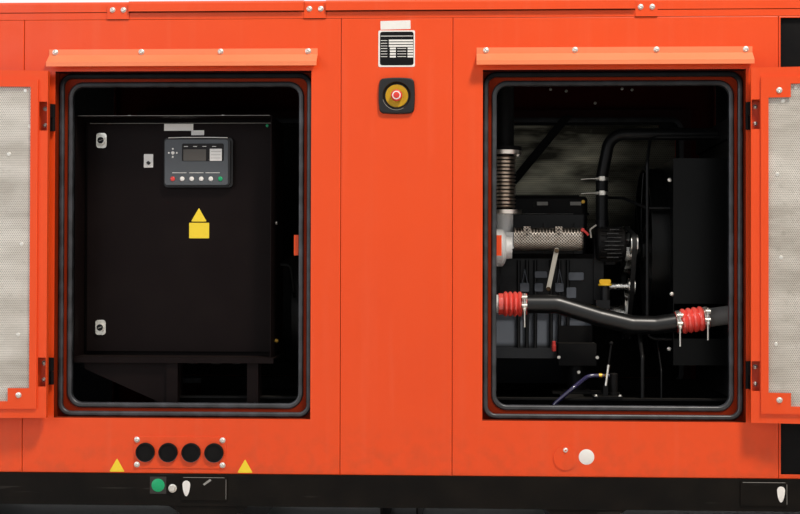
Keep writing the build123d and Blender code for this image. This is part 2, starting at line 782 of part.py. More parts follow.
def cabinet_hinges(fixed):
    """The halves of the three cabinet hinges that sit on the body, or those on the door."""
    x, y, z = cabinet_spans()
    axis_x, axis_y = cabinet_hinge_line()
    radius, height = CABINET_KNUCKLE
    axis = Pos(axis_x, axis_y)
    barrel = axis * Circle(radius)
    made = []
    for share in (0.1, 0.5, 0.9):
        middle = z[0] + (z[1] - z[0]) * share
        if fixed:
            low, high = middle - height, middle - SEAT
            half = level(barrel, low, high)
            half += level(axis * Circle(CABINET_PIN), high, middle + height - 2)
            half += block((axis_x, x[1] - CABINET_SHEET), (axis_y - 3, axis_y + 3), (low, high))
        else:
            low, high = middle, middle + height
            half = level(barrel - axis * Circle(CABINET_PIN + SEAT), low, high)
            half += block((axis_x - 26, axis_x - 4.5), (axis_y - 1, axis_y + 1), (low, high))
        made.append(half)
    return made


def controller():
    """The control module on the cabinet door: a bezel with rounded corners and a raised face."""
    width, height, depth = CONTROLLER_SIZE
    x_all, y, z_all = cabinet_spans()
    left_edge, top_edge = x_all[0] + CONTROLLER_PLACE[0], z_all[1] - CONTROLLER_PLACE[1]
    x = (left_edge, left_edge + width)
    z = (top_edge - height, top_edge)
    back = y[0] + RIM_DEPTH
    rim = back - depth * BEZEL_SHARE
    bezel = upright(window(x, z, 14), rim, back)
    face = upright(window(inset(x, 8), inset(z, 6), 10), back - depth, rim)
    return bezel + face


def cabinet_locks():
    """Two quarter-turn locks near the door's free edge."""
    x_all, y, z_all = cabinet_spans()
    back = y[0] + RIM_DEPTH
    width, height, thick = LOCK_PLATE
    radius, rise = LOCK_KNOB
    x = x_all[0] + LOCK_PLACE
    low, high = LOCK_HEIGHTS
    locks = []
    for z in (z_all[1] - high, z_all[0] + low):
        outline = window((x - width / 2, x + width / 2), (z - height / 2, z + height / 2), 10)
        plate = upright(outline, back - thick, back)
        locks.append(plate + upright(Pos(x, z) * Circle(radius), back - thick - rise, back - thick))
    return locks


def cabinet_stand():
    """The tray under the cabinet, its posts down to the floor and the sloping gusset."""
    x, y, z = cabinet_spans()
    under = z[0] - TRAY_SHEET
    lip = y[0] - TRAY_PROUD
    tray_x = (x[0], x[1] + 2 * TRAY_PROUD)
    tray = block(tray_x, (lip, y[1]), (under, z[0]))
    tray += block(tray_x, (lip, lip + SHEET), (z[0] - TRAY_LIP, z[0]))
    skid = -SKID_SPREAD / 2
    for place in POST_PLACES:
        post_x = (x[0] + place, x[0] + place + POST)
        for depth, foot in ((y[0] + 6, FLOOR_TOP), (skid - POST - 8, SKID_TOP)):
            post_y = (depth, depth + POST)
            tube = window(post_x, post_y) - window(inset(post_x, SHEET), inset(post_y, SHEET))
            tray += level(tube, foot, under)
    post, tip = x[0] + POST_PLACES[0], x[0] + 30
    gusset = Polyline((tip, under), (post, under), (post, z[0] - 165), (tip, z[0] - 40), close=True)
    tray += upright(make_face(gusset), y[0] + 20, y[0] + 20 + SHEET)
    return tray


def cable_glands():
    """Three glands through the tray, each a hexagon nut over a domed cap."""
    x, y, z = cabinet_spans()
    low = z[0] - TRAY_SHEET
    nut_radius, nut_height = GLAND_NUT
    cap_radius, cap_height, rounding = GLAND_CAP
    nut = low - nut_height
    glands = []
    for place in GLAND_PLACES:
        middle = Pos(x[0] + place, y[0] + GLAND_DEPTH, 0)
        dome = middle * level(Circle(cap_radius), nut - cap_height, nut)
        dome = fillet(dome.edges().group_by(Axis.Z)[0], rounding)
        glands.append(middle * level(RegularPolygon(nut_radius, 6), nut, low) + dome)
    return glands


def loose_cables():
    """The cabinet's side cable, the ribbed conduit beside the fan and a thin wire in front of it."""
    x, y, z = cabinet_spans()
    out, depth = x[1] + SEAT, y[1] - 70
    target = BLOCK_START - HOUSING_DEPTH - ALTERNATOR_LENGTH + 15
    drop = CABLE_HEIGHT - 110
    loop = [(out, depth, CABLE_HEIGHT), (out + 34, depth, CABLE_HEIGHT)]
    loop += [(target, depth + 10, drop + 14), (target, depth + 30, drop)]
    plate, side = SHROUD_START - SEAT, CORE_HALF - 14
    beam = -SKID_SPREAD / 2 - SKID_FLANGE / 2
    lines = [pipe(loop, CABLE_RADIUS, 20)]
    for height, reach, radius in ((CONDUIT_HEIGHT, 118, CONDUIT_RADIUS), (WIRE_HEIGHT, 54, WIRE_RADIUS)):
        bend = plate - reach
        route = [(plate, -side, height), (bend, -side, height), (bend, beam, height - 100)]
        lines.append(pipe([*route, (bend, beam, SKID_TOP + SEAT)], radius, 20))
    return lines


# Machine
def engine_block():
    """The block with its ribs and bosses, the head, the timing cover and the flywheel housing."""
    start, stop = BLOCK_START, BLOCK_START + BLOCK_LENGTH
    half = BLOCK_WIDTH / 2
    casting = block((start, stop), (-half, half), (SUMP_TOP, DECK))
    casting = chamfer(casting.edges().filter_by(Axis.X), 18)
    reach = half + RIB_REACH
    for centre in RIB_GROUPS:
        for step in (-1, 0, 1):
            x = start + centre + step * RIB_PITCH
            rib = block((x - RIB_HALF, x + RIB_HALF), (half - RIB_ROOT, reach), (RIB_BOTTOM, DECK - 25))
            rib = chamfer(rib.edges().filter_by(Axis.Z).group_by(Axis.Y)[-1], 4)
            casting += rib + rear(rib)
    for place in BOSS_PLACES:
        for z, size in ((DECK - 65, 26), (DECK - 128, 30)):
            boss = Pos(start + place, 0, z) * Box(2 * size, 2 * (reach - 10), 1.5 * size)
            casting += chamfer(boss.edges().filter_by(Axis.Y), size / 3)
    casting += block((start, stop), (-reach, reach), (SUMP_TOP - 8, SUMP_TOP + 10))
    head = block((start + 10, stop - 20), (-half + 25, half - 25), (DECK, HEAD_TOP))
    casting += fillet(head.edges().filter_by(Axis.Z), 20)
    for index in range(5):
        x = start + 70 + index * 110
        casting += block((x - 9, x + 9), (HEAD_RIB - half, half - HEAD_RIB), (DECK, HEAD_TOP - 30))
    cover = block((stop, stop + COVER_DEPTH), (-half - 20, half + 20), (SUMP_TOP - 30, DECK + 60))
    casting += fillet(cover.edges().filter_by(Axis.X), 60)
    casting += Pos(HOSE_START[0], HOSE_START[1], DECK + 80) * Cylinder(HOSE_RADIUS + 2, 80 - 2 * SEAT)
    neck = Pos(*CAP_PLACE[:2], 0) * level(Circle(16), CAP_PLACE[2] - 50, CAP_PLACE[2] - SEAT)
    elbow = (CAP_PLACE[2] - 80, CAP_PLACE[2] - 50)
    neck += block((stop, CAP_PLACE[0] + 16), (CAP_PLACE[1] - 16, -half), elbow)
    return casting + neck + flywheel_housing()


def flywheel_housing():
    """The bell between block and alternator, with a ring of webs."""
    start = BLOCK_START - HOUSING_DEPTH
    axis = Pos(0, CRANK_HEIGHT)
    bell = across(axis * Circle(HOUSING_RADIUS), start, start + 18)
    bell += across(axis * Circle(HOUSING_RADIUS - 24), start + 18, BLOCK_START)
    for index in range(12):
        web = Pos(start + HOUSING_DEPTH / 2, 0, HOUSING_RADIUS - 24) * Box(HOUSING_DEPTH - SEAT, 10, 44)
        bell += Pos(0, 0, CRANK_HEIGHT) * Rot(15 + index * 30, 0, 0) * web
    return bell


def filler_cap():
    """The oil filler cap: a flanged disc with a grip across it."""
    cap = Cylinder(24, 8, align=(Align.CENTER, Align.CENTER, Align.MIN))
    cap = fillet(cap.edges(), 3)
    grip = Pos(0, 0, 8) * Box(40, 9, 16, align=(Align.CENTER, Align.CENTER, Align.MIN))
    grip = fillet(grip.edges().filter_by(Axis.Y), 6)
    return Pos(*CAP_PLACE) * (cap + grip)


def rocker_cover():
    """The ribbed cover on the head, with a flange along its foot and two flat pads on its side."""
    x, half = (BLOCK_START + 60, BLOCK_START + BLOCK_LENGTH - 15), 115
    cover = block(x, (-half, half), (HEAD_TOP, HEAD_TOP + COVER_HEIGHT))
    cover = fillet(cover.edges().filter_by(Axis.Z), 30)
    cover = fillet(cover.faces().sort_by(Axis.Z)[-1].edges(), 15)
    flange = block(inset(x, -6), (-half - 8, half + 8), (HEAD_TOP, HEAD_TOP + 9))
    cover += fillet(flange.edges().filter_by(Axis.Z), 34)
    for centre in (x[0] + 140, x[0] + 330):
        pad = block((centre - 38, centre + 38), (-half - 4, half + 4), (HEAD_TOP + 30, HEAD_TOP + 52))
        cover += chamfer(pad.edges().filter_by(Axis.Y), 4)
    for y in (-80, -32, 16, 64):
        cover += block(inset(x, 30), (y, y + 10), (HEAD_TOP + 60, HEAD_TOP + COVER_HEIGHT + 5))
    return cover


def oil_sump():
    """The flat-sided crankcase skirt with the pressed sump below it."""
    x = (BLOCK_START + 8, BLOCK_START + BLOCK_LENGTH - 8)
    half = BLOCK_WIDTH / 2 - RIB_ROOT - SEAT
    skirt = block(x, (-half, half), (RIB_BOTTOM - 30, SUMP_TOP - 8))
    flange = block(inset(x, -4), (-half - 22, half + 22), (RIB_BOTTOM - 38, RIB_BOTTOM - SEAT))
    top, low = RIB_BOTTOM - 38, SKID_TOP + 24
    upper = Plane.XY.offset(top) * window(inset(x, 12), (-half + 20, half - 20), 20)
    lower = Plane.XY.offset(low) * window(inset(x, 50), (-half + 60, half - 60), 20)
    return skirt + flange + loft([lower, upper])


def alternator():
    """The generator: adapter, finned frame, end bell and terminal box."""
    stop = BLOCK_START - HOUSING_DEPTH
    start = stop - ALTERNATOR_LENGTH
    axis = Pos(0, CRANK_HEIGHT)
    body = across(axis * Circle(ALTERNATOR_RADIUS), start, stop - 40)
    body += across(axis * Circle(HOUSING_RADIUS), stop - 40, stop)
    bell = Plane.YZ.offset(start) * (axis * Circle(ALTERNATOR_RADIUS - 12))
    small = Plane.YZ.offset(start - 120) * (axis * Circle(ALTERNATOR_RADIUS - 70))
    body += loft([small, bell])
    for index in range(5):
        x = start + 60 + index * 65
        body += across(axis * Circle(ALTERNATOR_RADIUS + 8), x, x + 12)
    top = CRANK_HEIGHT + ALTERNATOR_RADIUS
    body += block((start + 20, stop - 120), (-150, 150), (top - 60, top + 130))
    for side in (-1, 1):
        y = sorted((side * 150, side * 230))
        body += block((start + 80, stop - 60), y, (SKID_TOP, CRANK_HEIGHT - 150))
    return body


def skid_frame():
    """Two channels on the floor with cross beams that carry the tank and the machine."""
    half = SKID_SPREAD / 2
    x = (-850, 1310)
    rail = across(Pos(-half, FLOOR_TOP) * channel(SKID_FLANGE, SKID_HEIGHT, RAIL_WALL, -1), *x)
    frame = rail + rear(rail)
    for place in (-330, -60, 560, 1150):
        frame += block((place, place + 80), (-half, half), (SKID_TOP - 6, SKID_TOP))
    return frame


def engine_mounts():
    """Cast arms from the block's end over rubber blocks down to the skid, on both sides."""
    x = MOUNT_SPAN
    near, far = BLOCK_WIDTH / 2 + RIB_REACH + SEAT, BLOCK_WIDTH / 2 + MOUNT_REACH
    top = SKID_TOP + MOUNT_HEIGHT
    low = top - MOUNT_DROP
    arm = block(x, (-far, -near), (top - 14, top))
    arm += block(x, (-far, -far + 10), (low, top))
    for span in ((x[0], x[0] + 12), (x[1] - 12, x[1])):
        arm += block(span, (-far, -near), (low, top))
    arm += block(inset(x, 6), (-near - 10, -near), (top - 60, top + 60))
    foot = 98
    middle = Pos(sum(x) / 2, -far + foot / 2, 0)
    arm += middle * level(Circle(RUBBER_RADIUS), SKID_TOP + 12, top - 14)
    arm += block(inset(x, 18), (-far + 14, -far + foot - 14), (SKID_TOP, SKID_TOP + 12))
    arm += block(inset(x, -20), (-far, -far + foot), (SKID_TOP, SKID_TOP + 6))
    return [arm, rear(arm)]


def exhaust_manifold():
    """The rounded heat shield over the manifold."""
    y, z = SHIELD_CENTRE
    width, height, rounding = SHIELD_SIZE
    shield = across(Pos(y, z) * RectangleRounded(width, height, rounding), *SHIELD_SPAN)
    shield = fillet(shield.faces().sort_by(Axis.X)[-1].edges(), 14)
    ports = block(inset(SHIELD_SPAN, 18.5), (y + 43, HEAD_RIB - BLOCK_WIDTH / 2), (z - 20, z + 20))
    front, top = y - width / 2, z + height / 2
    for place in STRAP_PLACES:
        x = (place - 12, place + 12)
        shield += block(x, (front - 2, front + 10), (z + 12, top + 3))
        shield += block(x, (front - 2, y + 3), (top - 1, top + 3))
    return shield + ports


def turbocharger():
    """Turbine, bearing housing and compressor on one shaft, with the outlet elbow and the neck."""
    x, y, z = TURBO_CENTRE
    profile = (
        (-92, 0),
        (-92, 30),
        (-78, 34),
        (-78, 52),
        (-66, 72),
        (-22, 76),
        (-14, 60),
        (-12, 44),
        (18, 40),
        (22, 58),
        (30, 66),
        (66, 66),
        (74, 56),
        (80, 40),
        (100, 38),
        (100, 0),
    )
    face = make_face(Polyline(*profile, close=True))
    housings = Pos(x, y, z) * revolve(face, Axis.X)
    housings += block((x + 34, SHIELD_SPAN[0] - SEAT), (y + 20, y + 90), (z - 2, z + 56))
    outlet_y = -CHARGE_SIDE
    exit_x = x - 44
    bend = [(exit_x, outlet_y + 20, z - 10), (exit_x, outlet_y, z - 40)]
    bend += [(exit_x, outlet_y, CHARGE_LINE), (CHARGE_START + 14, outlet_y, CHARGE_LINE)]
    housings += pipe(bend, CHARGE_RADIUS, 14)
    low = z + 20
    housings += Pos(*BELLOWS_CENTRE, 0) * level(Circle(BELLOWS_NECK - 2), low, BELLOWS_SPAN[0] - SEAT)
    return housings


def exhaust_bellows():
    """A flexible joint with end flanges, made as one turned profile of small waves."""
    x, y = BELLOWS_CENTRE
    low, high = BELLOWS_SPAN
    out, thick = BELLOWS_FLANGE
    neck = BELLOWS_NECK
    points = [(0, low), (out, low), (out, low + thick), (neck, low + thick)]
    start, stop = low + thick + 6, high - thick - 6
    pitch = (stop - start) / BELLOWS_WAVES
    for index in range(BELLOWS_WAVES):
        base = start + index * pitch
        points += [(neck, base), (BELLOWS_WAVE, base + pitch / 2)]
    points += [(neck, stop), (neck, high - thick), (out, high - thick), (out, high), (0, high)]
    face = make_face(Polyline(*points, close=True))
    return Pos(x, y, 0) * revolve(Plane.XZ * face, Axis.Z)


def exhaust_riser():
    """The pipe from the bellows through the roof, ending in a cut-off stub."""
    out, thick = BELLOWS_FLANGE
    middle = Pos(*BELLOWS_CENTRE, 0)
    top = ROOF_EDGE + RISER_TOP
    collar = ROOF_EDGE + ROOF_CAMBER
    start = BELLOWS_SPAN[1] + SEAT
    riser = middle * level(Circle(RISER_RADIUS), start, top)
    riser += middle * level(Circle(out), start, start + thick)
    riser += middle * level(Circle(RISER_RADIUS + 25), collar, collar + 4)
    return riser - middle * level(Circle(RISER_RADIUS - 4), start + thick, top)


def charge_pipe():
    """The charge air pipe along the engine."""
    y = -CHARGE_SIDE
    before, after = along_hose(-72), along_hose(20)
    points = [(CHARGE_START + HOSE_LENGTH - 15, y, CHARGE_LINE), (545, y, CHARGE_LINE)]
    points += [(690, y, 778), (800, y, 752), before, after]
    return pipe(points, CHARGE_RADIUS, 60)


def along_hose(distance):
    """A point on the right hose's line, measured from the hose's left end."""
    start, stop = Vector(*RIGHT_HOSE[0]), Vector(*RIGHT_HOSE[1])
    point = start + (stop - start).normalized() * distance
    return (point.X, point.Y, point.Z)


def humped_hose(start, stop, humps):
    """A silicone hose with rounded humps between two points, with a clamp band at each end."""
    a, b = Vector(*start), Vector(*stop)
    length = (b - a).length
    r, big = HUMP_RADIUS - 7, HUMP_RADIUS
    cuff = HOSE_CUFF
    step = (length - 2 * cuff) / humps
    points = [(CHARGE_RADIUS + SEAT, 0), (r, 0), (r, cuff)]
    for index in range(humps):
        base = cuff + index * step
        points += [(big - 2, base + step * 0.2), (big, base + step * 0.5)]
        points += [(big - 2, base + step * 0.8), (r, base + step)]
    points += [(r, length), (CHARGE_RADIUS + SEAT, length)]
    face = make_face(Polyline(*points, close=True))
    hose = revolve(Plane.XZ * face, Axis.Z)
    return Plane(origin=a, z_dir=b - a) * hose


def charge_hoses():
    """The two red hoses at the ends of the charge pipe."""
    y = -CHARGE_SIDE
    stop = CHARGE_START + HOSE_LENGTH
    first = humped_hose((CHARGE_START, y, CHARGE_LINE), (stop, y, CHARGE_LINE), HUMPS)
    second = humped_hose(*RIGHT_HOSE, HUMPS)
    return [first, second]


def cooler_pipe():
    """The stub from the right hose back to the charge cooler."""
    stub = rod(along_hose(95), along_hose(340), CHARGE_RADIUS)
    face = CORE_START + CORE_DEPTH + TANK_REACH - SEAT
    return stub - block((face, face + 200), (-SIDE, 0), (600, 1000))


def radiator():
    """The cooler core with its top and bottom tanks and side channels."""
    x = (CORE_START, CORE_START + CORE_DEPTH)
    core = block(x, (-CORE_HALF, CORE_HALF), CORE_Z)
    for z in ((SKID_TOP, CORE_Z[0]), (CORE_Z[1], TANK_TOP)):
        core += block((x[0] - TANK_REACH, x[1] + TANK_REACH), (-CORE_HALF, CORE_HALF), z)
    start = x[1] + TANK_REACH
    half = CHARGE_SIDE + CHARGE_RADIUS + 8
    core += block((start, start + COOLER_DEPTH), (-half, half), (SKID_TOP, CORE_Z[1] - 20))
    return core + block((x[1], start), (-CORE_HALF, CORE_HALF), (CORE_Z[0], CORE_Z[0] + 40))


def fan_shroud():
    """The box that joins the core to the round fan ring, with stiffening folds on its sides."""
    x = (SHROUD_START, CORE_START)
    half = CORE_HALF
    ring_radius = FAN_RADIUS + FAN_TIP_GAP
    z = (FAN_HEIGHT - ring_radius - 105, FAN_HEIGHT + ring_radius + 15)
    outline = window((-half, half), z)
    shell = across(outline - window(inset((-half, half), SHEET), inset(z, SHEET)), *x)
    hole = Pos(0, FAN_HEIGHT) * Circle(ring_radius)
    plate = across(outline - hole, x[0], x[0] + SHEET)
    mouth = x[0] - RING_DEPTH
    ring = across(Pos(0, FAN_HEIGHT) * Circle(ring_radius + SHEET) - hole, mouth, x[0] + SHEET)
    lip = across(Pos(0, FAN_HEIGHT) * Circle(ring_radius + 9) - hole, mouth, mouth + 6)
    notch = block(x, (-half, -half + SHEET), NOTCH_SPAN)
    return shell + plate + ring + lip - notch


def fan():
    """The fan: a stepped hub, seven twisted blades lofted from root to tip, and its shaft."""
    start = SHROUD_START - RING_DEPTH - 10
    hub = across(Pos(0, FAN_HEIGHT) * Circle(70), start, start + 60)
    hub = fillet(hub.edges(), 8)
    root, tip = 62, FAN_RADIUS
    sections = []
    for radius, width, pitch in ((root, 70, 52), ((root + tip) / 2, 92, 38), (tip, 96, 27)):
        chord = Rot(0, 0, -pitch) * RectangleRounded(5, width, 2)
        sections.append(Plane.XY.offset(radius) * (Pos(start + 30, 0) * chord))
    blade = loft(sections)
    wheel = hub
    for index in range(BLADES):
        wheel += Pos(0, 0, FAN_HEIGHT) * Rot(index * 360 / BLADES, 0, 0) * blade
    wheel += across(Pos(0, FAN_HEIGHT) * Circle(FAN_SHAFT), BELT_PLANE + PULLEY_WIDTH / 2, start + 10)
    return wheel


def pulleys():
    """Crank, fan, alternator and idler pulleys in the belt's plane, each with raised rims."""
    made = []
    half = PULLEY_WIDTH / 2
    for y, z, radius, hub in belt_circles():
        axis = Pos(y, z)
        wheel = across(axis * Circle(radius), BELT_PLANE - half, BELT_PLANE + half)
        for side in (-half, half - 3):
            wheel += across(axis * Circle(radius + 5), BELT_PLANE + side, BELT_PLANE + side + 3)
        wheel -= across(axis * Circle(radius - 7), BELT_PLANE + half - 6, BELT_PLANE + half)
        wheel += across(axis * Circle(radius / 3), BELT_PLANE + half - 6, BELT_PLANE + half)
        start = BLOCK_START + BLOCK_LENGTH + COVER_DEPTH
        if hub:
            wheel += across(axis * Circle(hub), start, BELT_PLANE - half)
        made.append(wheel)
    return made


def belt_circles():
    """The pulleys as places in Y and Z with their radii and hub radii."""
    return (
        (0, CRANK_HEIGHT, 90, 30),
        (0, FAN_HEIGHT, 85, FAN_SHAFT),
        (*CHARGER_PLACE, 32, 0),
        (-185, 882, 24, 12),
    )


def fan_belt():
    """The belt round the four pulleys."""
    circles = [Pos(y, z) * Circle(radius + SEAT) for y, z, radius, hub in belt_circles()]
    edges = [edge for circle in circles for edge in circle.edges()]
    loop = make_hull(edges)
    belt = offset(loop, BELT_THICK) - loop
    return across(belt, BELT_PLANE - BELT_WIDTH / 2, BELT_PLANE + BELT_WIDTH / 2)


def charging_alternator():
    """The battery-charging alternator: two vented bells clamped round a stator ring."""
    y, z = CHARGER_PLACE
    axis = Pos(y, z)
    stop = BELT_PLANE - PULLEY_WIDTH / 2
    body = across(axis * Circle(58), 692, 796)
    body = fillet(body.edges(), 12)
    body += across(axis * Circle(62), 730, 752)
    for index in range(18):
        fin = Pos(744, 0, 56) * Box(76, 4, 12)
        body += Pos(0, y, z) * Rot(index * 20, 0, 0) * fin
    body += across(axis * Circle(11), 796, stop - SEAT)
    body += block((725, 760), (y - 2, -180), (z - 73, z - 33))
    return body


def coolant_hose():
    """The top hose from the thermostat to the radiator."""
    x, y = HOSE_START
    end = CORE_START - TANK_REACH - SEAT
    points = [(x, y, 1120), (x, y, 1280), (x + 30, y, 1434), (end, y, 1434)]
    return pipe(points, HOSE_RADIUS, 62)


def thin_hoses():
    """Two narrow vent hoses, from the timing cover and the top tank to the shroud's front plate."""
    start, y = HOSE_START
    plate = SHROUD_START - SEAT
    beside = FAN_RADIUS + FAN_TIP_GAP + 30
    low = [(start, y + 90, DECK + 60 + SEAT), (start, y + 90, 1210), (start + 72, y - 50, 1200)]
    low += [(plate - 80, -beside + 40, 1160), (plate, -beside + 40, 1160)]
    tank = CORE_START - TANK_REACH - SEAT
    high = [(tank, y - 60, 1418), (plate - 60, y - 60, 1418), (plate - 85, -beside, 1320)]
    high += [(plate - 85, -beside, 700), (plate, -beside, 700)]
    return [pipe(low, 5.5, 24), pipe(high, 6, 30)]


def drain_pump():
    """The hand pump for the sump oil, bolted to a plate on the skid."""
    x, y, z = PUMP_PIVOT
    top = SKID_TOP + PUMP_PLATE
    base = block((x - 42, x + 56), (y - 26, y + 60), (SKID_TOP, top))
    middle = Pos(x + PUMP_ASIDE, y + PUMP_BACK, 0)
    barrel = middle * level(Circle(PUMP_RADIUS), top, PUMP_TOP)
    base += fillet(barrel.edges().group_by(Axis.Z)[-1], 4)
    base += middle * level(Circle(PUMP_RADIUS + 5), top, top + 10)
    ear, out = LEVER_THICK / 2 + 1, LEVER_THICK / 2 + 6
    base += block((x - 8, x + 8), (y - out, y + out), (top, z - 12))
    for side in (-1, 1):
        span = sorted((y + side * ear, y + side * out))
        base += block((x - 8, x + 8), span, (z - 12, z + 8))
    return base + rod((x, y - out, z), (x, y + out, z), LEVER_PIN)


def pump_lever():
    """The pump's lever with a knob on its end, on the pin between the ears."""
    x, y, z = PUMP_PIVOT
    half = LEVER_THICK / 2
    eye = upright(Pos(x, z) * (Circle(8) - Circle(LEVER_PIN + SEAT)), y - half, y + half)
    tip = (x + LEVER_TIP[0], y, z + LEVER_TIP[1])
    bar = rod((x + 1, y, z + 7), tip, 3.5)
    return eye + bar + Pos(*tip) * Sphere(7)


def pump_hose():
    """The drain hose from the pump's side, falling over the skid's flange to the floor."""
    x, y, z = PUMP_PIVOT
    start = (x + PUMP_ASIDE - PUMP_RADIUS - SEAT, y + PUMP_BACK, PUMP_TOP - 9)
    front = -SKID_SPREAD / 2 - SKID_FLANGE - PUMP_HOSE - 5
    route = [start, (650, start[1], start[2]), (594, front, 540), (530, front, 484), (500, front, 380)]
    return pipe([*route, (500, front, FLOOR_TOP + SEAT)], PUMP_HOSE, 40)


# Small fittings on the photographed side
def stop_bezel():
    """The square surround of the emergency stop: bowed sides, soft corners and a round well."""
    z = PANEL_BOTTOM + STOP_CENTRE
    half, bow = STOP_SIZE / 2, STOP_SIZE / 2 - 4
    corners = [(-bow, bow), (bow, bow), (bow, -bow), (-bow, -bow)]
    middles = [(0, half), (half, 0), (0, -half), (-half, 0)]
    sides = [ThreePointArc(corners[i], middles[i], corners[(i + 1) % 4]) for i in range(4)]
    outline = fillet(make_face(sides).vertices(), 16)
    frame = upright(Pos(0, z) * outline, -SIDE - STOP_RISE, -SIDE)
    frame = fillet(frame.faces().sort_by(Axis.Y)[0].edges(), 5)
    well = Plane.XZ.offset(SIDE + STOP_RISE) * (Pos(0, z) * Circle(47))
    floor = Plane.XZ.offset(SIDE + 2) * (Pos(0, z) * Circle(STOP_DISC + 3))
    frame -= loft([well, floor])
    return frame - upright(Pos(0, z) * Circle(STEM_RADIUS + SEAT), -SIDE - STOP_RISE, -SIDE)


def stop_disc():
    """The domed yellow disc behind the stop button."""
    z = PANEL_BOTTOM + STOP_CENTRE
    disc = upright(Pos(0, z) * Circle(STOP_DISC), -SIDE - 6, -SIDE - 2 - SEAT)
    disc = fillet(disc.faces().sort_by(Axis.Y)[0].edges(), 2)
    return disc - upright(Pos(0, z) * Circle(STEM_RADIUS + SEAT), -SIDE - 6, -SIDE)


def stop_button():
    """The red mushroom on its stem."""
    z = PANEL_BOTTOM + STOP_CENTRE
    y = -SIDE - 6 - STOP_TRAVEL - 2
    head = upright(Pos(0, z) * Circle(19), y - 14, y)
    head = fillet(head.edges().sort_by(Axis.Y)[0], 5)
    return head + upright(Pos(0, z) * Circle(STEM_RADIUS), y, -SIDE + 10)


def gland_plate():
    """The bolted plate low on the left surround."""
    x, z = GLAND_CENTRE[0], PANEL_BOTTOM + GLAND_CENTRE[1]
    plate = upright(Pos(x, z) * RectangleRounded(*GLAND_PLATE, 5), -SIDE - SHEET, -SIDE)
    return fillet(plate.faces().sort_by(Axis.Y)[0].edges(), 1)


def gland_plugs():
    """Four blanking plugs with a raised rim round a shallow dish."""
    x, z = GLAND_CENTRE[0], PANEL_BOTTOM + GLAND_CENTRE[1]
    front = -SIDE - SHEET - PLUG_RISE
    plugs = []
    for index in range(4):
        place = Pos(x + (index - 1.5) * PLUG_PITCH, z)
        plug = upright(place * Circle(PLUG_RADIUS), front, -SIDE - SHEET - SEAT)
        plug = fillet(plug.faces().sort_by(Axis.Y)[0].edges(), 3)
        plugs.append(plug - upright(place * Circle(PLUG_RADIUS - 6), front, front + 3))
    return plugs


def drain_cover():
    """The round cover that swings about its screw."""
    x, z = DRAIN_CENTRE[0], PANEL_BOTTOM + DRAIN_CENTRE[1]
    outline = Pos(x, z) * Circle(DRAIN_RADIUS) - Pos(x, z + DRAIN_PIVOT) * Circle(SCREW_RADIUS + SEAT)
    return upright(outline, -SIDE - SHEET - SEAT, -SIDE - SEAT)


def drain_hole():
    """The hole behind the drain cover."""
    x, z = DRAIN_CENTRE[0], PANEL_BOTTOM + DRAIN_CENTRE[1] - 6
    return upright(Pos(x, z) * Circle(DRAIN_RADIUS - 14), -SIDE, -SIDE + SHEET)


def drain_pivot():
    """The screw that the drain cover swings on."""
    x, z = DRAIN_CENTRE[0], PANEL_BOTTOM + DRAIN_CENTRE[1] + DRAIN_PIVOT
    front = -SIDE - SHEET - 2 * SEAT
    shank = upright(Pos(x, z) * Circle(SCREW_RADIUS), front, -SIDE)
    return shank + upright(Pos(x, z) * Circle(SCREW_RADIUS + 3), front - 2.5, front)


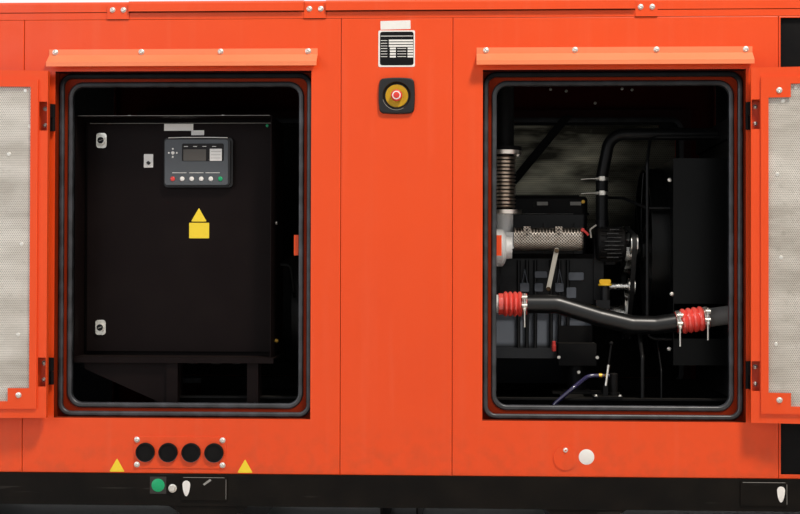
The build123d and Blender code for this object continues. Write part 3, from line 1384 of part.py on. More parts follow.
def build():
    """Every piece under its name."""
    surround = door_surround()
    gutter = rain_gutter()
    centre, left_bay, right_bay, stop_panel = side_panels()
    leaf, liner, latch = door_leaf(), door_liner(), door_latch()
    for tab in liner_tabs(False):
        leaf += tab
    tall_leaf = leaf
    for tab in liner_tabs(True):
        tall_leaf += tab
    halves, leaves = hinge_halves(), hinge_leaves()
    seals = door_seals()
    fittings = (latch, *leaves)
    swing_right = [turned(piece, HINGE_X, HINGE_Y, RIGHT_OPEN) for piece in (tall_leaf, liner, *fittings)]
    swing_left = [turned(left(piece), -HINGE_X, HINGE_Y, -LEFT_OPEN) for piece in (leaf, liner, *fittings)]
    wall = end_wall()
    louvres = end_blades(60, 30)
    grille = end_blades(30, 0)
    insert = bay_insert()
    half_clip = CLIP_SIZE[0] / 2
    first, middle, last = ROOF_SEAMS
    left_end = roof_section(-END, first + half_clip, True)
    bridge = roof_section(middle - half_clip, middle + half_clip, True)
    right_end = roof_section(last - half_clip, END, True)
    hatches = [
        roof_section(first + half_clip, middle - half_clip, False),
        roof_section(middle + half_clip, last - half_clip, False),
    ]
    gable = roof_gable()
    flue = Pos(*BELLOWS_CENTRE, ROOF_EDGE) * Cylinder(RISER_RADIUS + SEAT, 100)
    nodes = {
        "base_frame": [base_frame()],
        "fork_pockets": fork_pockets(),
        "skid_frame": [skid_frame()],
        "fuel_tank": [fuel_tank()],
        "door_surrounds": [surround - drain_hole() + drain_pivot(), *four_ways(surround)[1:]],
        "side_panels": [stop_panel, left_bay, right_bay, rear(centre), rear(left_bay), rear(right_bay)],
        "bay_inserts": [insert, rear(insert)],
        "end_walls": [left(wall), wall],
        "end_grilles": [left(louvres), grille],
        "roof_frame": roof_frame(),
        "roof_sheets": [left_end + left(gable), hatches[0], bridge, hatches[1] - flue, right_end + gable],
        "rain_gutters": four_ways(gutter),
        "door_seals": [copy for loop in seals for copy in four_ways(loop)],
        "right_door": [swing_right[0]],
        "right_door_liner": [swing_right[1]],
        "right_door_fittings": swing_right[2:],
        "left_door": [swing_left[0]],
        "left_door_liner": [swing_left[1]],
        "left_door_fittings": swing_left[2:],
        "rear_doors": [rear(tall_leaf), rear(left(leaf))],
        "rear_door_fittings": [copy for piece in fittings for copy in (rear(piece), rear(left(piece)))],
        "rear_door_liners": [rear(liner), rear(left(liner))],
        "door_hinges": [copy for half in halves for copy in four_ways(half)],
        "door_stay": [rear(door_stay().mirror(Plane.XZ))],
        "cabinet_body": [cabinet_body()],
        "cabinet_door": [cabinet_door()],
        "cabinet_stand": [cabinet_stand()],
        "cabinet_locks": cabinet_locks(),
        "controller": [controller()],
        "cable_glands": cable_glands(),
        "loose_cables": loose_cables(),
        "alternator": [alternator()],
        "engine_block": [engine_block()],
        "rocker_cover": [rocker_cover()],
        "oil_sump": [oil_sump()],
        "engine_mounts": engine_mounts(),
        "exhaust_manifold": [exhaust_manifold()],
        "turbocharger": [turbocharger()],
        "exhaust_bellows": [exhaust_bellows()],
        "exhaust_riser": [exhaust_riser()],
        "charge_pipe": [charge_pipe()],
        "filler_cap": [filler_cap()],
        "charge_hoses": charge_hoses(),
        "cooler_pipe": [cooler_pipe()],
        "radiator": [radiator()],
        "fan_shroud": [fan_shroud()],
        "fan": [fan()],
        "pulleys": pulleys(),
        "fan_belt": [fan_belt()],
        "charging_alternator": [charging_alternator()],
        "coolant_hoses": [coolant_hose(), *thin_hoses()],
        "drain_pump": [drain_pump()],
        "pump_lever": [pump_lever()],
        "pump_hose": [pump_hose()],
        "stop_bezel": [stop_bezel()],
        "stop_disc": [stop_disc()],
        "stop_button": [stop_button()],
        "gland_plate": [gland_plate()],
        "gland_plugs": gland_plugs(),
        "drain_cover": [drain_cover()],
    }
    return nodes


if __name__ == "__main__":
    os.makedirs("parts", exist_ok=True)
    for name, pieces in build().items():
        shape = pieces[0] if len(pieces) == 1 else Compound(children=pieces)
        export_step(shape, f"parts/{name}.step")
        print(name, round(shape.volume / 1e6, 3))
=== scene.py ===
# %% [markdown]
# A diesel generator set in its weatherproof housing, with both doors of one side swung open.
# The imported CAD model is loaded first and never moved. Everything below either gives a finish to
# one of its pieces or adds a small piece to it, such as a screw, a plate, a strut or a clamp.
# Lengths are written in millimetres, because the real object is drawn that way, and turned to
# metres at the last moment.

# %% Load the CAD model
import json

import bmesh
import bpy
import numpy as np
from mathutils import Matrix, Vector


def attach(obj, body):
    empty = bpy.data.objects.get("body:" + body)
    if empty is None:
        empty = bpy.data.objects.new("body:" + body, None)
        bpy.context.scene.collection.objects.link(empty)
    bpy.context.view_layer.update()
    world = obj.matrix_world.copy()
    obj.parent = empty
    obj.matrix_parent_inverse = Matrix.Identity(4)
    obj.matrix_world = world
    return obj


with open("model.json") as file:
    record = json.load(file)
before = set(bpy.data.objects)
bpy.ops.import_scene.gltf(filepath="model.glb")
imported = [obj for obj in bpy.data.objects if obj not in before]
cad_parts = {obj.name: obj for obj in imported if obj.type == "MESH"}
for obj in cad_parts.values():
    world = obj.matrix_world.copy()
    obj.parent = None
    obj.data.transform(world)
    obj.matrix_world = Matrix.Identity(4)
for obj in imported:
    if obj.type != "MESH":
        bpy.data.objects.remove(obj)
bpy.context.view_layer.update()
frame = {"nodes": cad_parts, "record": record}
MM = 0.001


# %% [markdown]
# The camera stood about five metres from the side, a little right of the middle and at chest
# height. Its place was solved from the seams between the panels, whose spacing is known, and its
# lens is the one for which 1500 pixels of a photograph 800 wide make one radian.

# %% Camera
CAMERA_PLACE = (0.24741, -5.6252, 0.92075)
CAMERA_TURN, CAMERA_TILT, CAMERA_ROLL = 0.0473, 0.0121, 0.0025


def camera_axes(turn, tilt, roll):
    """Right, up and backward directions of a camera that looks along +Y, turned, tilted and rolled."""
    look = Vector((-np.sin(turn) * np.cos(tilt), np.cos(turn) * np.cos(tilt), np.sin(tilt)))
    flat = Vector((np.cos(turn), np.sin(turn), 0.0))
    rise = flat.cross(look)
    right = flat * np.cos(roll) + rise * np.sin(roll)
    up = rise * np.cos(roll) - flat * np.sin(roll)
    return right, up, -look


camera = bpy.data.objects.new("camera", bpy.data.cameras.new("camera"))
bpy.context.scene.collection.objects.link(camera)
right, up, back = camera_axes(CAMERA_TURN, CAMERA_TILT, CAMERA_ROLL)
camera.matrix_world = Matrix.Translation(CAMERA_PLACE) @ Matrix((right, up, back)).transposed().to_4x4()
camera.data.lens = 36.0 * 1500 / 800
camera.data.clip_end = 60
bpy.context.scene.camera = camera
print("lens", round(camera.data.lens, 1), "mm")


# %% [markdown]
# Colours are written as the sRGB hex values that an eye or a screen would give them, and one
# function turns them to the linear values that the shaders count in. A material is a small graph
# of nodes. One function adds a node with its values and its wires, another gives the pattern that
# nearly all of them use: blotches of a real size, fixed to the object.

# %% Colour and node helpers
def linear(hex_code):
    """An sRGB hex colour as linear RGBA: divide by 12.92 below 0.04045, else the 2.4 power curve."""
    srgb = np.array([int(hex_code[i : i + 2], 16) for i in (0, 2, 4)]) / 255
    value = np.where(srgb <= 0.04045, srgb / 12.92, ((srgb + 0.055) / 1.055) ** 2.4)
    return (*value.tolist(), 1.0)


def add(tree, kind, *values, **settings):
    """Adds a node. Values fill its inputs in order; a setting with a capital names an input, else a
    property. A hex code stands for its colour, and a node for its first output."""
    node = tree.nodes.new("ShaderNode" + kind)
    for key in [key for key in settings if key[0].islower()]:
        setattr(node, key, settings.pop(key))
    usable = [socket for socket in node.inputs if not socket.is_unavailable]
    pairs = list(zip(usable, values))
    for key, value in settings.items():
        pairs.append((next(socket for socket in usable if socket.name == key.replace("_", " ")), value))
    for socket, value in pairs:
        if isinstance(value, bpy.types.Node):
            value = next(output for output in value.outputs if not output.is_unavailable)
        if isinstance(value, bpy.types.NodeSocket):
            tree.links.new(value, socket)
        else:
            socket.default_value = linear(value) if isinstance(value, str) else value
    return node


def grain(tree, size_mm, stretch=(1, 1, 1), seed=0.0, **noise):
    """Noise on object coordinates: blotches size_mm across, divided by stretch along X, Y and Z."""
    scale = tuple(np.array(stretch) / (size_mm * MM))
    place = add(tree, "Mapping", add(tree, "TexCoord").outputs["Object"], Scale=scale, Location=(seed, 1.7 * seed, 0.6 * seed))
    return add(tree, "TexNoise", place, Scale=1.0, **noise)


def blank_material(name):
    """An empty material and its tree."""
    material = bpy.data.materials.new(name)
    material.use_nodes = True
    material.node_tree.nodes.clear()
    return material, material.node_tree


def object_parts(tree, output="Object"):
    """X, Y and Z of the object coordinates, or with "Normal" of the way the surface faces."""
    return add(tree, "SeparateXYZ", add(tree, "TexCoord").outputs[output]).outputs


print("helpers ready; the orange in linear light:", np.round(linear("E04E22"), 3).tolist())


# %% [markdown]
# The housing is folded steel sheet with a red-orange powder coat. Powder leaves a faint orange
# peel a couple of millimetres across, and weather leaves pale dust on ledges, thin dry streaks
# under the folds and a slightly browned band along the bottom edge. All of it is subtle, because
# the coat on the real set is nearly new. Where a face of the housing looks inwards, the coat turns
# near black as painted shade for the dark inside: there the place and the direction it faces have
# opposite signs. The land round each doorway is stepped back behind the panel and its two seals,
# and there it is painted dark red with less sheen, as painted shade.

# %% Powder coat on steel
def powder_coat(name, colour, deeper, painted_shade_inside=False, painted_land_shade=False):
    """Powder coat on folded steel: satin, fine orange peel, dust and dry streaks; painted shade near black on inner
    faces and dark red on the land.
    """
    material, tree = blank_material(name)
    place, facing = object_parts(tree), object_parts(tree, "Normal")
    broad = grain(tree, 420, Detail=4.0)
    coat = add(tree, "Mix", add(tree, "MapRange", broad, 0.35, 0.7, 0.0, 0.35), colour, deeper, data_type="RGBA")
    streak = add(tree, "MapRange", grain(tree, 30, stretch=(1, 1, 0.04), Detail=5.0), 0.55, 0.85, 0.0, 0.05)
    coat = add(tree, "Mix", streak, coat, "E3A184", data_type="RGBA")
    ledge = add(tree, "MapRange", facing[2], 0.55, 0.98)
    settled = add(tree, "MapRange", grain(tree, 300, seed=4.0, Detail=8.0), 0.35, 0.75, 0.04, 0.22)
    dust = add(tree, "Math", ledge, settled, operation="MULTIPLY")
    coat = add(tree, "Mix", dust, coat, "E8A888", data_type="RGBA")
    low = add(tree, "MapRange", place[2], 0.26, 0.46, 1.0, 0.0)
    mud = add(tree, "MapRange", grain(tree, 45, seed=9.0), 0.42, 0.75, 0.0, 0.25)
    coat = add(tree, "Mix", add(tree, "Math", low, mud, operation="MULTIPLY"), coat, "8A4A2C", data_type="RGBA")
    rough = add(tree, "MapRange", grain(tree, 90, seed=2.0), 0.3, 0.75, 0.34, 0.48)
    rough = add(tree, "Math", rough, dust, operation="ADD")
    # Painted shade: faces that look into the housing turn near black.
    if painted_shade_inside:
        inward = [add(tree, "Math", place[i], facing[i], operation="MULTIPLY") for i in (0, 1)]
        ends = add(tree, "Math", inward[0], -1.5, operation="LESS_THAN")
        sides = add(tree, "Math", inward[1], -0.3, operation="LESS_THAN")
        roof = add(tree, "Math", add(tree, "Math", place[2], facing[2], operation="MULTIPLY"), -1.2, operation="LESS_THAN")
        inside_shade = add(tree, "Math", add(tree, "Math", ends, sides, operation="MAXIMUM"), roof, operation="MAXIMUM")
        coat = add(tree, "Mix", inside_shade, coat, "131314", data_type="RGBA")
        rough = add(tree, "Math", rough, inside_shade, operation="MAXIMUM")
    shine = 0.4
    # Painted shade: the land behind the seals is mixed towards dark red and its sheen is lowered.
    if painted_land_shade:
        from_middle = add(tree, "Math", place[1], operation="ABSOLUTE")
        land = add(tree, "MapRange", from_middle, 0.6475, 0.6492, 0.8, 0.0)
        behind = add(tree, "MapRange", from_middle, 0.594, 0.596)
        land = add(tree, "Math", land, behind, operation="MULTIPLY")
        coat = add(tree, "Mix", land, coat, "3A0A05", data_type="RGBA")
        shine = add(tree, "MapRange", land, 0.0, 0.8, 0.4, 0.06)
    peel = add(tree, "Bump", Height=grain(tree, 2.4, Detail=1.0), Distance=0.05 * MM, Strength=0.5)
    waves = add(tree, "Bump", Height=broad, Distance=2.2 * MM, Strength=0.25, Normal=peel)
    shader = add(tree, "BsdfPrincipled", Base_Color=coat, Roughness=rough, Normal=waves, Specular_IOR_Level=shine)
    add(tree, "OutputMaterial", shader)
    return material


orange_coat = powder_coat("orange_powder_coat", "E54B14", "DA4212")
housing_coat = powder_coat("orange_powder_coat_shaded_inside", "E54B14", "DA4212", painted_shade_inside=True)
surround_coat = powder_coat("orange_powder_coat_joggled", "E54B14", "DA4212", painted_shade_inside=True, painted_land_shade=True)
# The gutters take a paler copy of the coat: painted light for the lamp and sky on their sloping faces.
painted_light_coat = powder_coat("orange_powder_coat_painted_light", "EE8558", "EA7848")
print("made", orange_coat.name, housing_coat.name, painted_light_coat.name)


# %% [markdown]
# Chassis, cabinet, skid and cooling pack are black. They are not the same black: the base rail is
# brush-thick satin paint with brown road dust and rubbed edges, the cabinet is a smooth powder
# coat that looks brown-black, and the engine is an oily enamel on rough castings. The same graph
# with other numbers serves for all of them and for moulded plastic: a colour, dust that settles
# and blotches, a grit of its own size, and thin bare scuffs where paint is touched.

# %% Paints, enamels and moulded plastic
def dusty_paint(name, colour, roughness, dust, amount, grit_mm, grit_depth, scuffs=0.0, shine=0.3, dark_below=0.0):
    """Paint or plastic with settled dust, blotches of grime, grit grit_depth mm deep and bare scuffs."""
    material, tree = blank_material(name)
    blot = add(tree, "MapRange", grain(tree, 110, seed=1.0, Detail=6.0), 0.38, 0.72, 0.0, 0.35 * amount)
    settled = add(tree, "MapRange", object_parts(tree, "Normal")[2], 0.3, 0.95, 0.0, 0.8 * amount)
    share = add(tree, "Math", blot, settled, operation="ADD")
    paint = add(tree, "Mix", share, colour, dust, data_type="RGBA")
    if scuffs:
        line = add(tree, "MapRange", grain(tree, 16, stretch=(0.08, 1, 1), seed=6.0), 0.69, 0.74, 0.0, scuffs)
        paint = add(tree, "Mix", line, paint, "77746E", data_type="RGBA")
    # Below a given height the colour turns near black.
    if dark_below:
        darkened = add(tree, "MapRange", object_parts(tree)[2], (dark_below - 8) * MM, (dark_below + 8) * MM, 0.9, 0.0)
        paint = add(tree, "Mix", darkened, paint, "0A0A0A", data_type="RGBA")
    rough = add(tree, "Math", share, roughness, operation="ADD")
    grit = add(tree, "Bump", Height=grain(tree, grit_mm, seed=3.0), Distance=grit_depth * MM, Strength=0.6)
    shader = add(tree, "BsdfPrincipled", Base_Color=paint, Roughness=rough, Normal=grit, Specular_IOR_Level=shine)
    add(tree, "OutputMaterial", shader)
    return material


chassis_paint = dusty_paint("satin_black_chassis_paint", "0D0B09", 0.5, "54493C", 0.14, 3.0, 0.08, 0.07, 0.08)
cabinet_coat = dusty_paint("brown_black_powder_coat", "0F0808", 0.5, "4A423C", 0.08, 1.6, 0.03, shine=0.07)
machine_enamel = dusty_paint("grey_black_machine_enamel", "0E0F11", 0.34, "45413D", 0.3, 5.0, 0.35, shine=0.18)
sump_enamel = dusty_paint("blue_grey_enamel_dark_below", "666C76", 0.34, "5A5750", 0.3, 4.0, 0.2, shine=0.2, dark_below=672)
cast_grey = dusty_paint("cast_grey_iron", "6E6C6A", 0.45, "8A867E", 0.3, 2.0, 0.15)
blue_enamel = dusty_paint("blue_grey_enamel", "565C66", 0.34, "5A5750", 0.35, 4.0, 0.2, shine=0.5)
matt_black = dusty_paint("matt_black_stove_paint", "0C0C0D", 0.5, "45413B", 0.2, 2.0, 0.05, shine=0.08)
gloss_black = dusty_paint("gloss_black_pipe_paint", "060708", 0.3, "3A3835", 0.05, 2.5, 0.02, shine=0.42)
shroud_black = dusty_paint("satin_black_sheet", "060707", 0.3, "2E2C2A", 0.08, 2.0, 0.02, shine=0.1)
moulded_black = dusty_paint("moulded_black_nylon", "151516", 0.42, "4C4843", 0.25, 1.0, 0.03)
moulded_grey_and_highlight = dusty_paint("moulded_grey_abs_and_painted_highlight", "4C5054", 0.45, "7A766E", 0.12, 0.9, 0.02)
moulded_yellow = dusty_paint("moulded_yellow_abs", "E0B428", 0.38, "B08A3A", 0.3, 1.0, 0.02)
stop_yellow = dusty_paint("printed_yellow_polycarbonate", "C2961C", 0.3, "8A6C2A", 0.25, 1.0, 0.02)
moulded_red = dusty_paint("moulded_red_abs", "D9413C", 0.25, "B0605A", 0.2, 1.0, 0.02)
pale_nylon = dusty_paint("moulded_pale_nylon", "B9B6AC", 0.45, "7F7A70", 0.3, 1.0, 0.02)
white_print_and_highlight = dusty_paint("printed_white_vinyl_and_painted_highlight", "E9E7E2", 0.35, "B0A89C", 0.12, 1.5, 0.01)
black_print = dusty_paint("printed_black_vinyl", "0F0F10", 0.34, "3A3735", 0.1, 1.5, 0.01, shine=0.12)
yellow_print = dusty_paint("printed_yellow_vinyl", "F2D436", 0.35, "B79A48", 0.12, 1.5, 0.01)
green_print = dusty_paint("printed_green_vinyl", "14A067", 0.35, "5E9A7C", 0.12, 1.5, 0.01)
dark_glass = dusty_paint("black_screen_glass", "100C0D", 0.12, "3A3836", 0.08, 3.0, 0.005, shine=0.2)
grey_print_and_highlight = dusty_paint("printed_grey_film_and_painted_highlight", "8F8D88", 0.35, "77736C", 0.12, 1.5, 0.01)
cast_turbo = dusty_paint("bare_cast_aluminium", "DADBDB", 0.42, "9C9690", 0.3, 2.0, 0.25, shine=0.6)
grey_vinyl = dusty_paint("printed_dark_grey_vinyl", "343230", 0.4, "5A564F", 0.12, 1.5, 0.01, shine=0.15)
print("made paints, enamels and plastics")


# %% [markdown]
# The doors are lined with galvanised sheet, punched all over with small holes, and rock wool
# wrapped in foil shows dark through them. The real holes are about 3 mm across and 5 mm apart,
# which is hardly a pixel and a half here, so they are drawn 6.5 mm apart to show at all. The wrap
# behind bulges and creases, which reads as slow light and dark bands across the sheet.

# %% Perforated liner
def punched_sheet(name, pitch_mm, colour, tarnish, hole_colour, painted_shade=False):
    """Zinc-coated sheet with round holes: the distance from the middle of a cell of staggered rows. A
    sheet with painted light and shade is near black low down and at both ends, as painted shade, and
    shows its own colour and metallic look only in a lit patch above the engine."""
    material, tree = blank_material(name)
    across, depth, rise = object_parts(tree)
    rows = add(tree, "Math", rise, 1 / (pitch_mm * 0.87 * MM), operation="MULTIPLY")
    odd = add(tree, "Math", add(tree, "Math", rows, operation="FLOOR"), 2.0, operation="FLOORED_MODULO")
    columns = add(tree, "Math", across, 1 / (pitch_mm * MM), add(tree, "Math", odd, 0.5, operation="MULTIPLY"), operation="MULTIPLY_ADD")
    cell = [add(tree, "Math", add(tree, "Math", line, 1.0, operation="FLOORED_MODULO"), 0.5, operation="SUBTRACT") for line in (columns, rows)]
    far = add(tree, "VectorMath", add(tree, "CombineXYZ", *cell), operation="LENGTH").outputs["Value"]
    hole = add(tree, "MapRange", far, 0.37, 0.25)
    bands = add(tree, "MapRange", grain(tree, 120, stretch=(0.45, 1, 1.6), seed=5.0, Detail=3.0), 0.36, 0.66)
    sheet = add(tree, "Mix", bands, tarnish, colour, data_type="RGBA")
    spots = add(tree, "MapRange", grain(tree, 26, seed=8.0, Detail=4.0), 0.60, 0.75, 0.0, 0.3)
    sheet = add(tree, "Mix", spots, sheet, "8C867A", data_type="RGBA")
    dark = add(tree, "Math", hole, 0.55, operation="MULTIPLY")
    sheet = add(tree, "Mix", dark, sheet, hole_colour, data_type="RGBA")
    metal = add(tree, "MapRange", hole, 0.0, 1.0, 0.45, 0.0)
    crease = grain(tree, 170, stretch=(0.8, 1, 1), seed=3.0, Detail=4.0, Roughness=0.65)
    soft = add(tree, "Bump", Height=crease, Distance=9.0 * MM, Strength=0.5)
    punched = add(tree, "Bump", Height=hole, Distance=0.6 * MM, Strength=0.4, Normal=soft, invert=True)
    # Painted shade and painted light: near black low down and at both ends, the sheet's own colour only in a lit patch.
    if painted_shade:
        clear = add(tree, "Math", add(tree, "MapRange", rise, 1.05, 1.3), add(tree, "MapRange", across, 0.25, 0.4), operation="MULTIPLY")
        clear = add(tree, "Math", clear, add(tree, "MapRange", across, 0.92, 0.72, 0.25, 1.0), operation="MULTIPLY")
        sheet = add(tree, "Mix", clear, "0C0B09", sheet, data_type="RGBA")
        metal = add(tree, "Math", metal, clear, operation="MULTIPLY")
    shine = 0.05 if painted_shade else 0.5
    shader = add(tree, "BsdfPrincipled", Base_Color=sheet, Metallic=metal, Roughness=0.42, Normal=punched, Specular_IOR_Level=shine)
    add(tree, "OutputMaterial", shader)
    return material


liner_sheet = punched_sheet("punched_galvanised_sheet", 6.5, "D4CEC4", "B2ABA0", "4A4640")
# The far liner is a lit and shaded copy of the door liner: painted light in its pale colour, painted shade in its dark
# bands and holes.
shaded_liner = punched_sheet("punched_galvanised_sheet_painted_light_and_shade", 9.0, "E6E0C6", "45433A", "0C0B09", painted_shade=True)
print("made", liner_sheet.name, "and", shaded_liner.name)


# %% [markdown]
# Rubber comes in two kinds here: the door seals are matt black foam-like extrusions with a bloom
# of dust, and the hoses are smooth. The silicone hoses of the charge air are red and glossy on
# their humps. Machined and plated metals follow, each with its own grain.

# %% Rubber, silicone and metals
def rubber(name, colour, roughness, bloom, amount, shine=0.4, shade_above=0.0):
    """Moulded rubber: dull, with a pale bloom of dust; above a given height the bloom and the sheen fade out as painted
    shade.
    """
    material, tree = blank_material(name)
    cloud = add(tree, "MapRange", grain(tree, 50, seed=2.0, Detail=5.0), 0.4, 0.75, 0.0, amount)
    settled = add(tree, "MapRange", object_parts(tree, "Normal")[2], 0.2, 1.0, 0.0, amount)
    share = add(tree, "Math", cloud, settled, operation="ADD")
    # Painted shade: above the height the bloom and the sheen fall away, as in the shade under the gutter.
    if shade_above:
        unshaded = add(tree, "MapRange", object_parts(tree)[2], (shade_above - 40) * MM, shade_above * MM, 1.0, 0.1)
        share = add(tree, "Math", share, unshaded, operation="MULTIPLY")
        shine = add(tree, "Math", unshaded, shine, operation="MULTIPLY")
    skin_colour = add(tree, "Mix", share, colour, bloom, data_type="RGBA")
    pores = add(tree, "Bump", Height=grain(tree, 1.2), Distance=0.05 * MM, Strength=0.5)
    shader = add(tree, "BsdfPrincipled", Base_Color=skin_colour, Roughness=roughness, Normal=pores, Specular_IOR_Level=shine)
    add(tree, "OutputMaterial", shader)
    return material


def bare_metal(name, colour, roughness, stain, amount, grain_mm=0.6, depth=0.02, diamonds_mm=0.0, waves=None):
    """Bare or plated metal: full reflection, fine grain, patches of tarnish and, where asked, pressed
    diamonds with painted shade in their pits, or painted shade and soot in the valleys between waves
    turned about an upright axis (x, y, neck and crest in mm)."""
    material, tree = blank_material(name)
    patch = add(tree, "MapRange", grain(tree, 22, seed=7.0, Detail=5.0), 0.42, 0.72, 0.0, amount)
    metal = add(tree, "Mix", patch, colour, stain, data_type="RGBA")
    rough = add(tree, "Math", patch, roughness, operation="ADD")
    surface = add(tree, "Bump", Height=grain(tree, grain_mm), Distance=depth * MM, Strength=0.5)
    if diamonds_mm:
        along, depth_in, rise = object_parts(tree)
        slope = add(tree, "Math", rise, depth_in, operation="SUBTRACT")
        turns = 2 * np.pi / (diamonds_mm * MM)
        ridges = []
        for way in ("ADD", "SUBTRACT"):
            slant = add(tree, "Math", add(tree, "Math", along, slope, operation=way), turns, operation="MULTIPLY")
            ridges.append(add(tree, "Math", slant, operation="SINE"))
        height = add(tree, "Math", *ridges, operation="MAXIMUM")
        surface = add(tree, "Bump", Height=height, Distance=0.8 * MM, Strength=0.9, Normal=surface)
        # Painted shade in the pits between the pressed diamonds.
        pit_shade = add(tree, "MapRange", height, 0.9, 0.2, 0.0, 0.85)
        metal = add(tree, "Mix", pit_shade, metal, "332D27", data_type="RGBA")
    if waves:
        # Painted shade and soot: the metal near the axis, in the valleys, is mixed dark.
        middle_x, middle_y, neck, crest = waves
        from_axis = add(tree, "VectorMath", add(tree, "TexCoord").outputs["Object"], (middle_x * MM, middle_y * MM, 0), operation="SUBTRACT")
        from_axis = add(tree, "VectorMath", from_axis, (1, 1, 0), operation="MULTIPLY")
        reach = add(tree, "VectorMath", from_axis, operation="LENGTH").outputs["Value"]
        metal = add(tree, "Mix", add(tree, "MapRange", reach, neck * MM, crest * MM), "2A221E", metal, data_type="RGBA")
    shader = add(tree, "BsdfPrincipled", Base_Color=metal, Metallic=1.0, Roughness=rough, Normal=surface)
    add(tree, "OutputMaterial", shader)
    return material


seal_rubber = rubber("epdm_door_seal", "121315", 0.38, "767880", 0.22, 0.6, shade_above=1578)
hose_rubber = rubber("epdm_coolant_hose", "0C0D0E", 0.4, "34312E", 0.1, 0.15)
belt_rubber = rubber("ribbed_belt_rubber", "131313", 0.6, "3A3836", 0.3)
violet_hose = rubber("tinted_pvc_hose", "1F1C3C", 0.14, "6E6A98", 0.15, 0.8)
silicone = rubber("red_silicone_hose", "E8473C", 0.17, "F2A498", 0.12, 1.0)
zinc_plate = bare_metal("zinc_plated_steel", "D5D2CA", 0.32, "8C867A", 0.35)
bright_steel = bare_metal("turned_steel", "C9C8C4", 0.22, "8E8A82", 0.3)
browned_steel = bare_metal("heat_browned_stainless", "E4D8CC", 0.3, "B8A494", 0.1, waves=(362, -250, 39, 42.5))
brass = bare_metal("turned_brass", "D3A94C", 0.28, "8A6A30", 0.35)
# The diamonds are pressed about 7 mm across and drawn 11 mm across, so that they show.
foil_shield = bare_metal("embossed_heat_shield", "BFB6AB", 0.34, "887460", 0.35, diamonds_mm=11.0)
print("made rubbers and metals")


# %% [markdown]
# Each CAD piece now takes its finish. What is not in the table is orange: the sheets that enclose
# the machine are painted near black on their inner faces as painted shade, and the doors are not.

# %% Finishes for the CAD pieces
FINISHES = {
    chassis_paint: "base_frame fork_pockets",
    matt_black: "skid_frame fuel_tank bay_inserts end_grilles right_door_fittings left_door_fittings "
    "rear_door_fittings door_stay door_hinges rocker_cover engine_mounts exhaust_riser radiator drain_pump "
    "charging_alternator pump_lever gland_plugs",
    seal_rubber: "door_seals",
    liner_sheet: "right_door_liner left_door_liner",
    shaded_liner: "rear_door_liners",
    cabinet_coat: "cabinet_body cabinet_door cabinet_stand",
    zinc_plate: "cabinet_locks",
    moulded_black: "cable_glands controller fan stop_bezel",
    hose_rubber: "loose_cables coolant_hoses",
    violet_hose: "pump_hose",
    machine_enamel: "alternator engine_block",
    moulded_yellow: "filler_cap",
    stop_yellow: "stop_disc",
    sump_enamel: "oil_sump",
    cast_grey: "cooler_pipe",
    foil_shield: "exhaust_manifold",
    cast_turbo: "turbocharger",
    browned_steel: "exhaust_bellows",
    gloss_black: "charge_pipe",
    silicone: "charge_hoses",
    shroud_black: "fan_shroud",
    bright_steel: "pulleys",
    belt_rubber: "fan_belt",
    moulded_red: "stop_button",
    housing_coat: "side_panels end_walls roof_sheets roof_frame rear_doors",
    surround_coat: "door_surrounds",
    painted_light_coat: "rain_gutters",
}
coat_of = {name: coat for coat, names in FINISHES.items() for name in names.split()}
for name, node in frame["nodes"].items():
    for index in range(len(node.data.materials)):
        node.data.materials[index] = coat_of.get(name, orange_coat)
print("finished", len(frame["nodes"]), "CAD nodes,", len(coat_of), "of them by name")


# %% [markdown]
# Screws, plates, labels and clamps are too small to be worth a solid each in the CAD model, but the
# eye looks for them. Each could be modelled by hand; here each is a stack of closed outlines, one
# above the other, as a lathe or a press would form it. Every stack is a grid of points, so a whole
# row of screws is a handful of arrays. The grid is joined round and along, its ends are drawn in to
# their own middle, and the skin is closed.

# %% Skins from stacked outlines
def circle(radius, count=20):
    """A ring of points: radius times the cosine and sine of equal steps of one turn."""
    turn = np.linspace(0, 2 * np.pi, count, endpoint=False)
    return radius * np.column_stack([np.cos(turn), np.sin(turn)])


def hexagon(across, count=24):
    """A hexagon by its width over flats: half of it over the cosine of the angle from the nearest flat."""
    turn = np.linspace(0, 2 * np.pi, count, endpoint=False)
    radius = across / 2 / np.cos(turn % (np.pi / 3) - np.pi / 6)
    return radius[:, None] * np.column_stack([np.cos(turn), np.sin(turn)])


def rounded(width, height, corner, count=5):
    """A rectangle with round corners: four quarters of a circle, each moved out to its own corner."""
    quarter = np.repeat(np.arange(4), count)
    turn = (quarter + np.tile(np.linspace(0, 1, count), 4)) * np.pi / 2
    signs = np.array([[1, 1], [-1, 1], [-1, -1], [1, -1]])[quarter]
    return signs * (np.array([width, height]) / 2 - corner) + corner * np.column_stack([np.cos(turn), np.sin(turn)])


def triangle(side, corner=2.0, count=5):
    """A triangle with round corners, point up: three thirds of a circle, each moved out to its own corner."""
    third = np.repeat(np.arange(3), count)
    middle = np.pi / 2 + third * 2 * np.pi / 3
    turn = middle + np.tile(np.linspace(-1, 1, count), 3) * np.pi / 3
    reach = side / np.sqrt(3) - 2 * corner
    return reach * np.column_stack([np.cos(middle), np.sin(middle)]) + corner * np.column_stack([np.cos(turn), np.sin(turn)])


def stacked(shape, profile):
    """Rows of one outline: shape(size) at each (size, rise), as points across, up and out."""
    outlines = [shape(size) for size, rise in profile]
    return np.array([np.column_stack([line, np.full(len(line), rise)]) for line, (size, rise) in zip(outlines, profile)])


DIRECTIONS = {"front": (0, -1, 0), "rear": (0, 1, 0), "up": (0, 0, 1), "down": (0, 0, -1), "right": (1, 0, 0)}


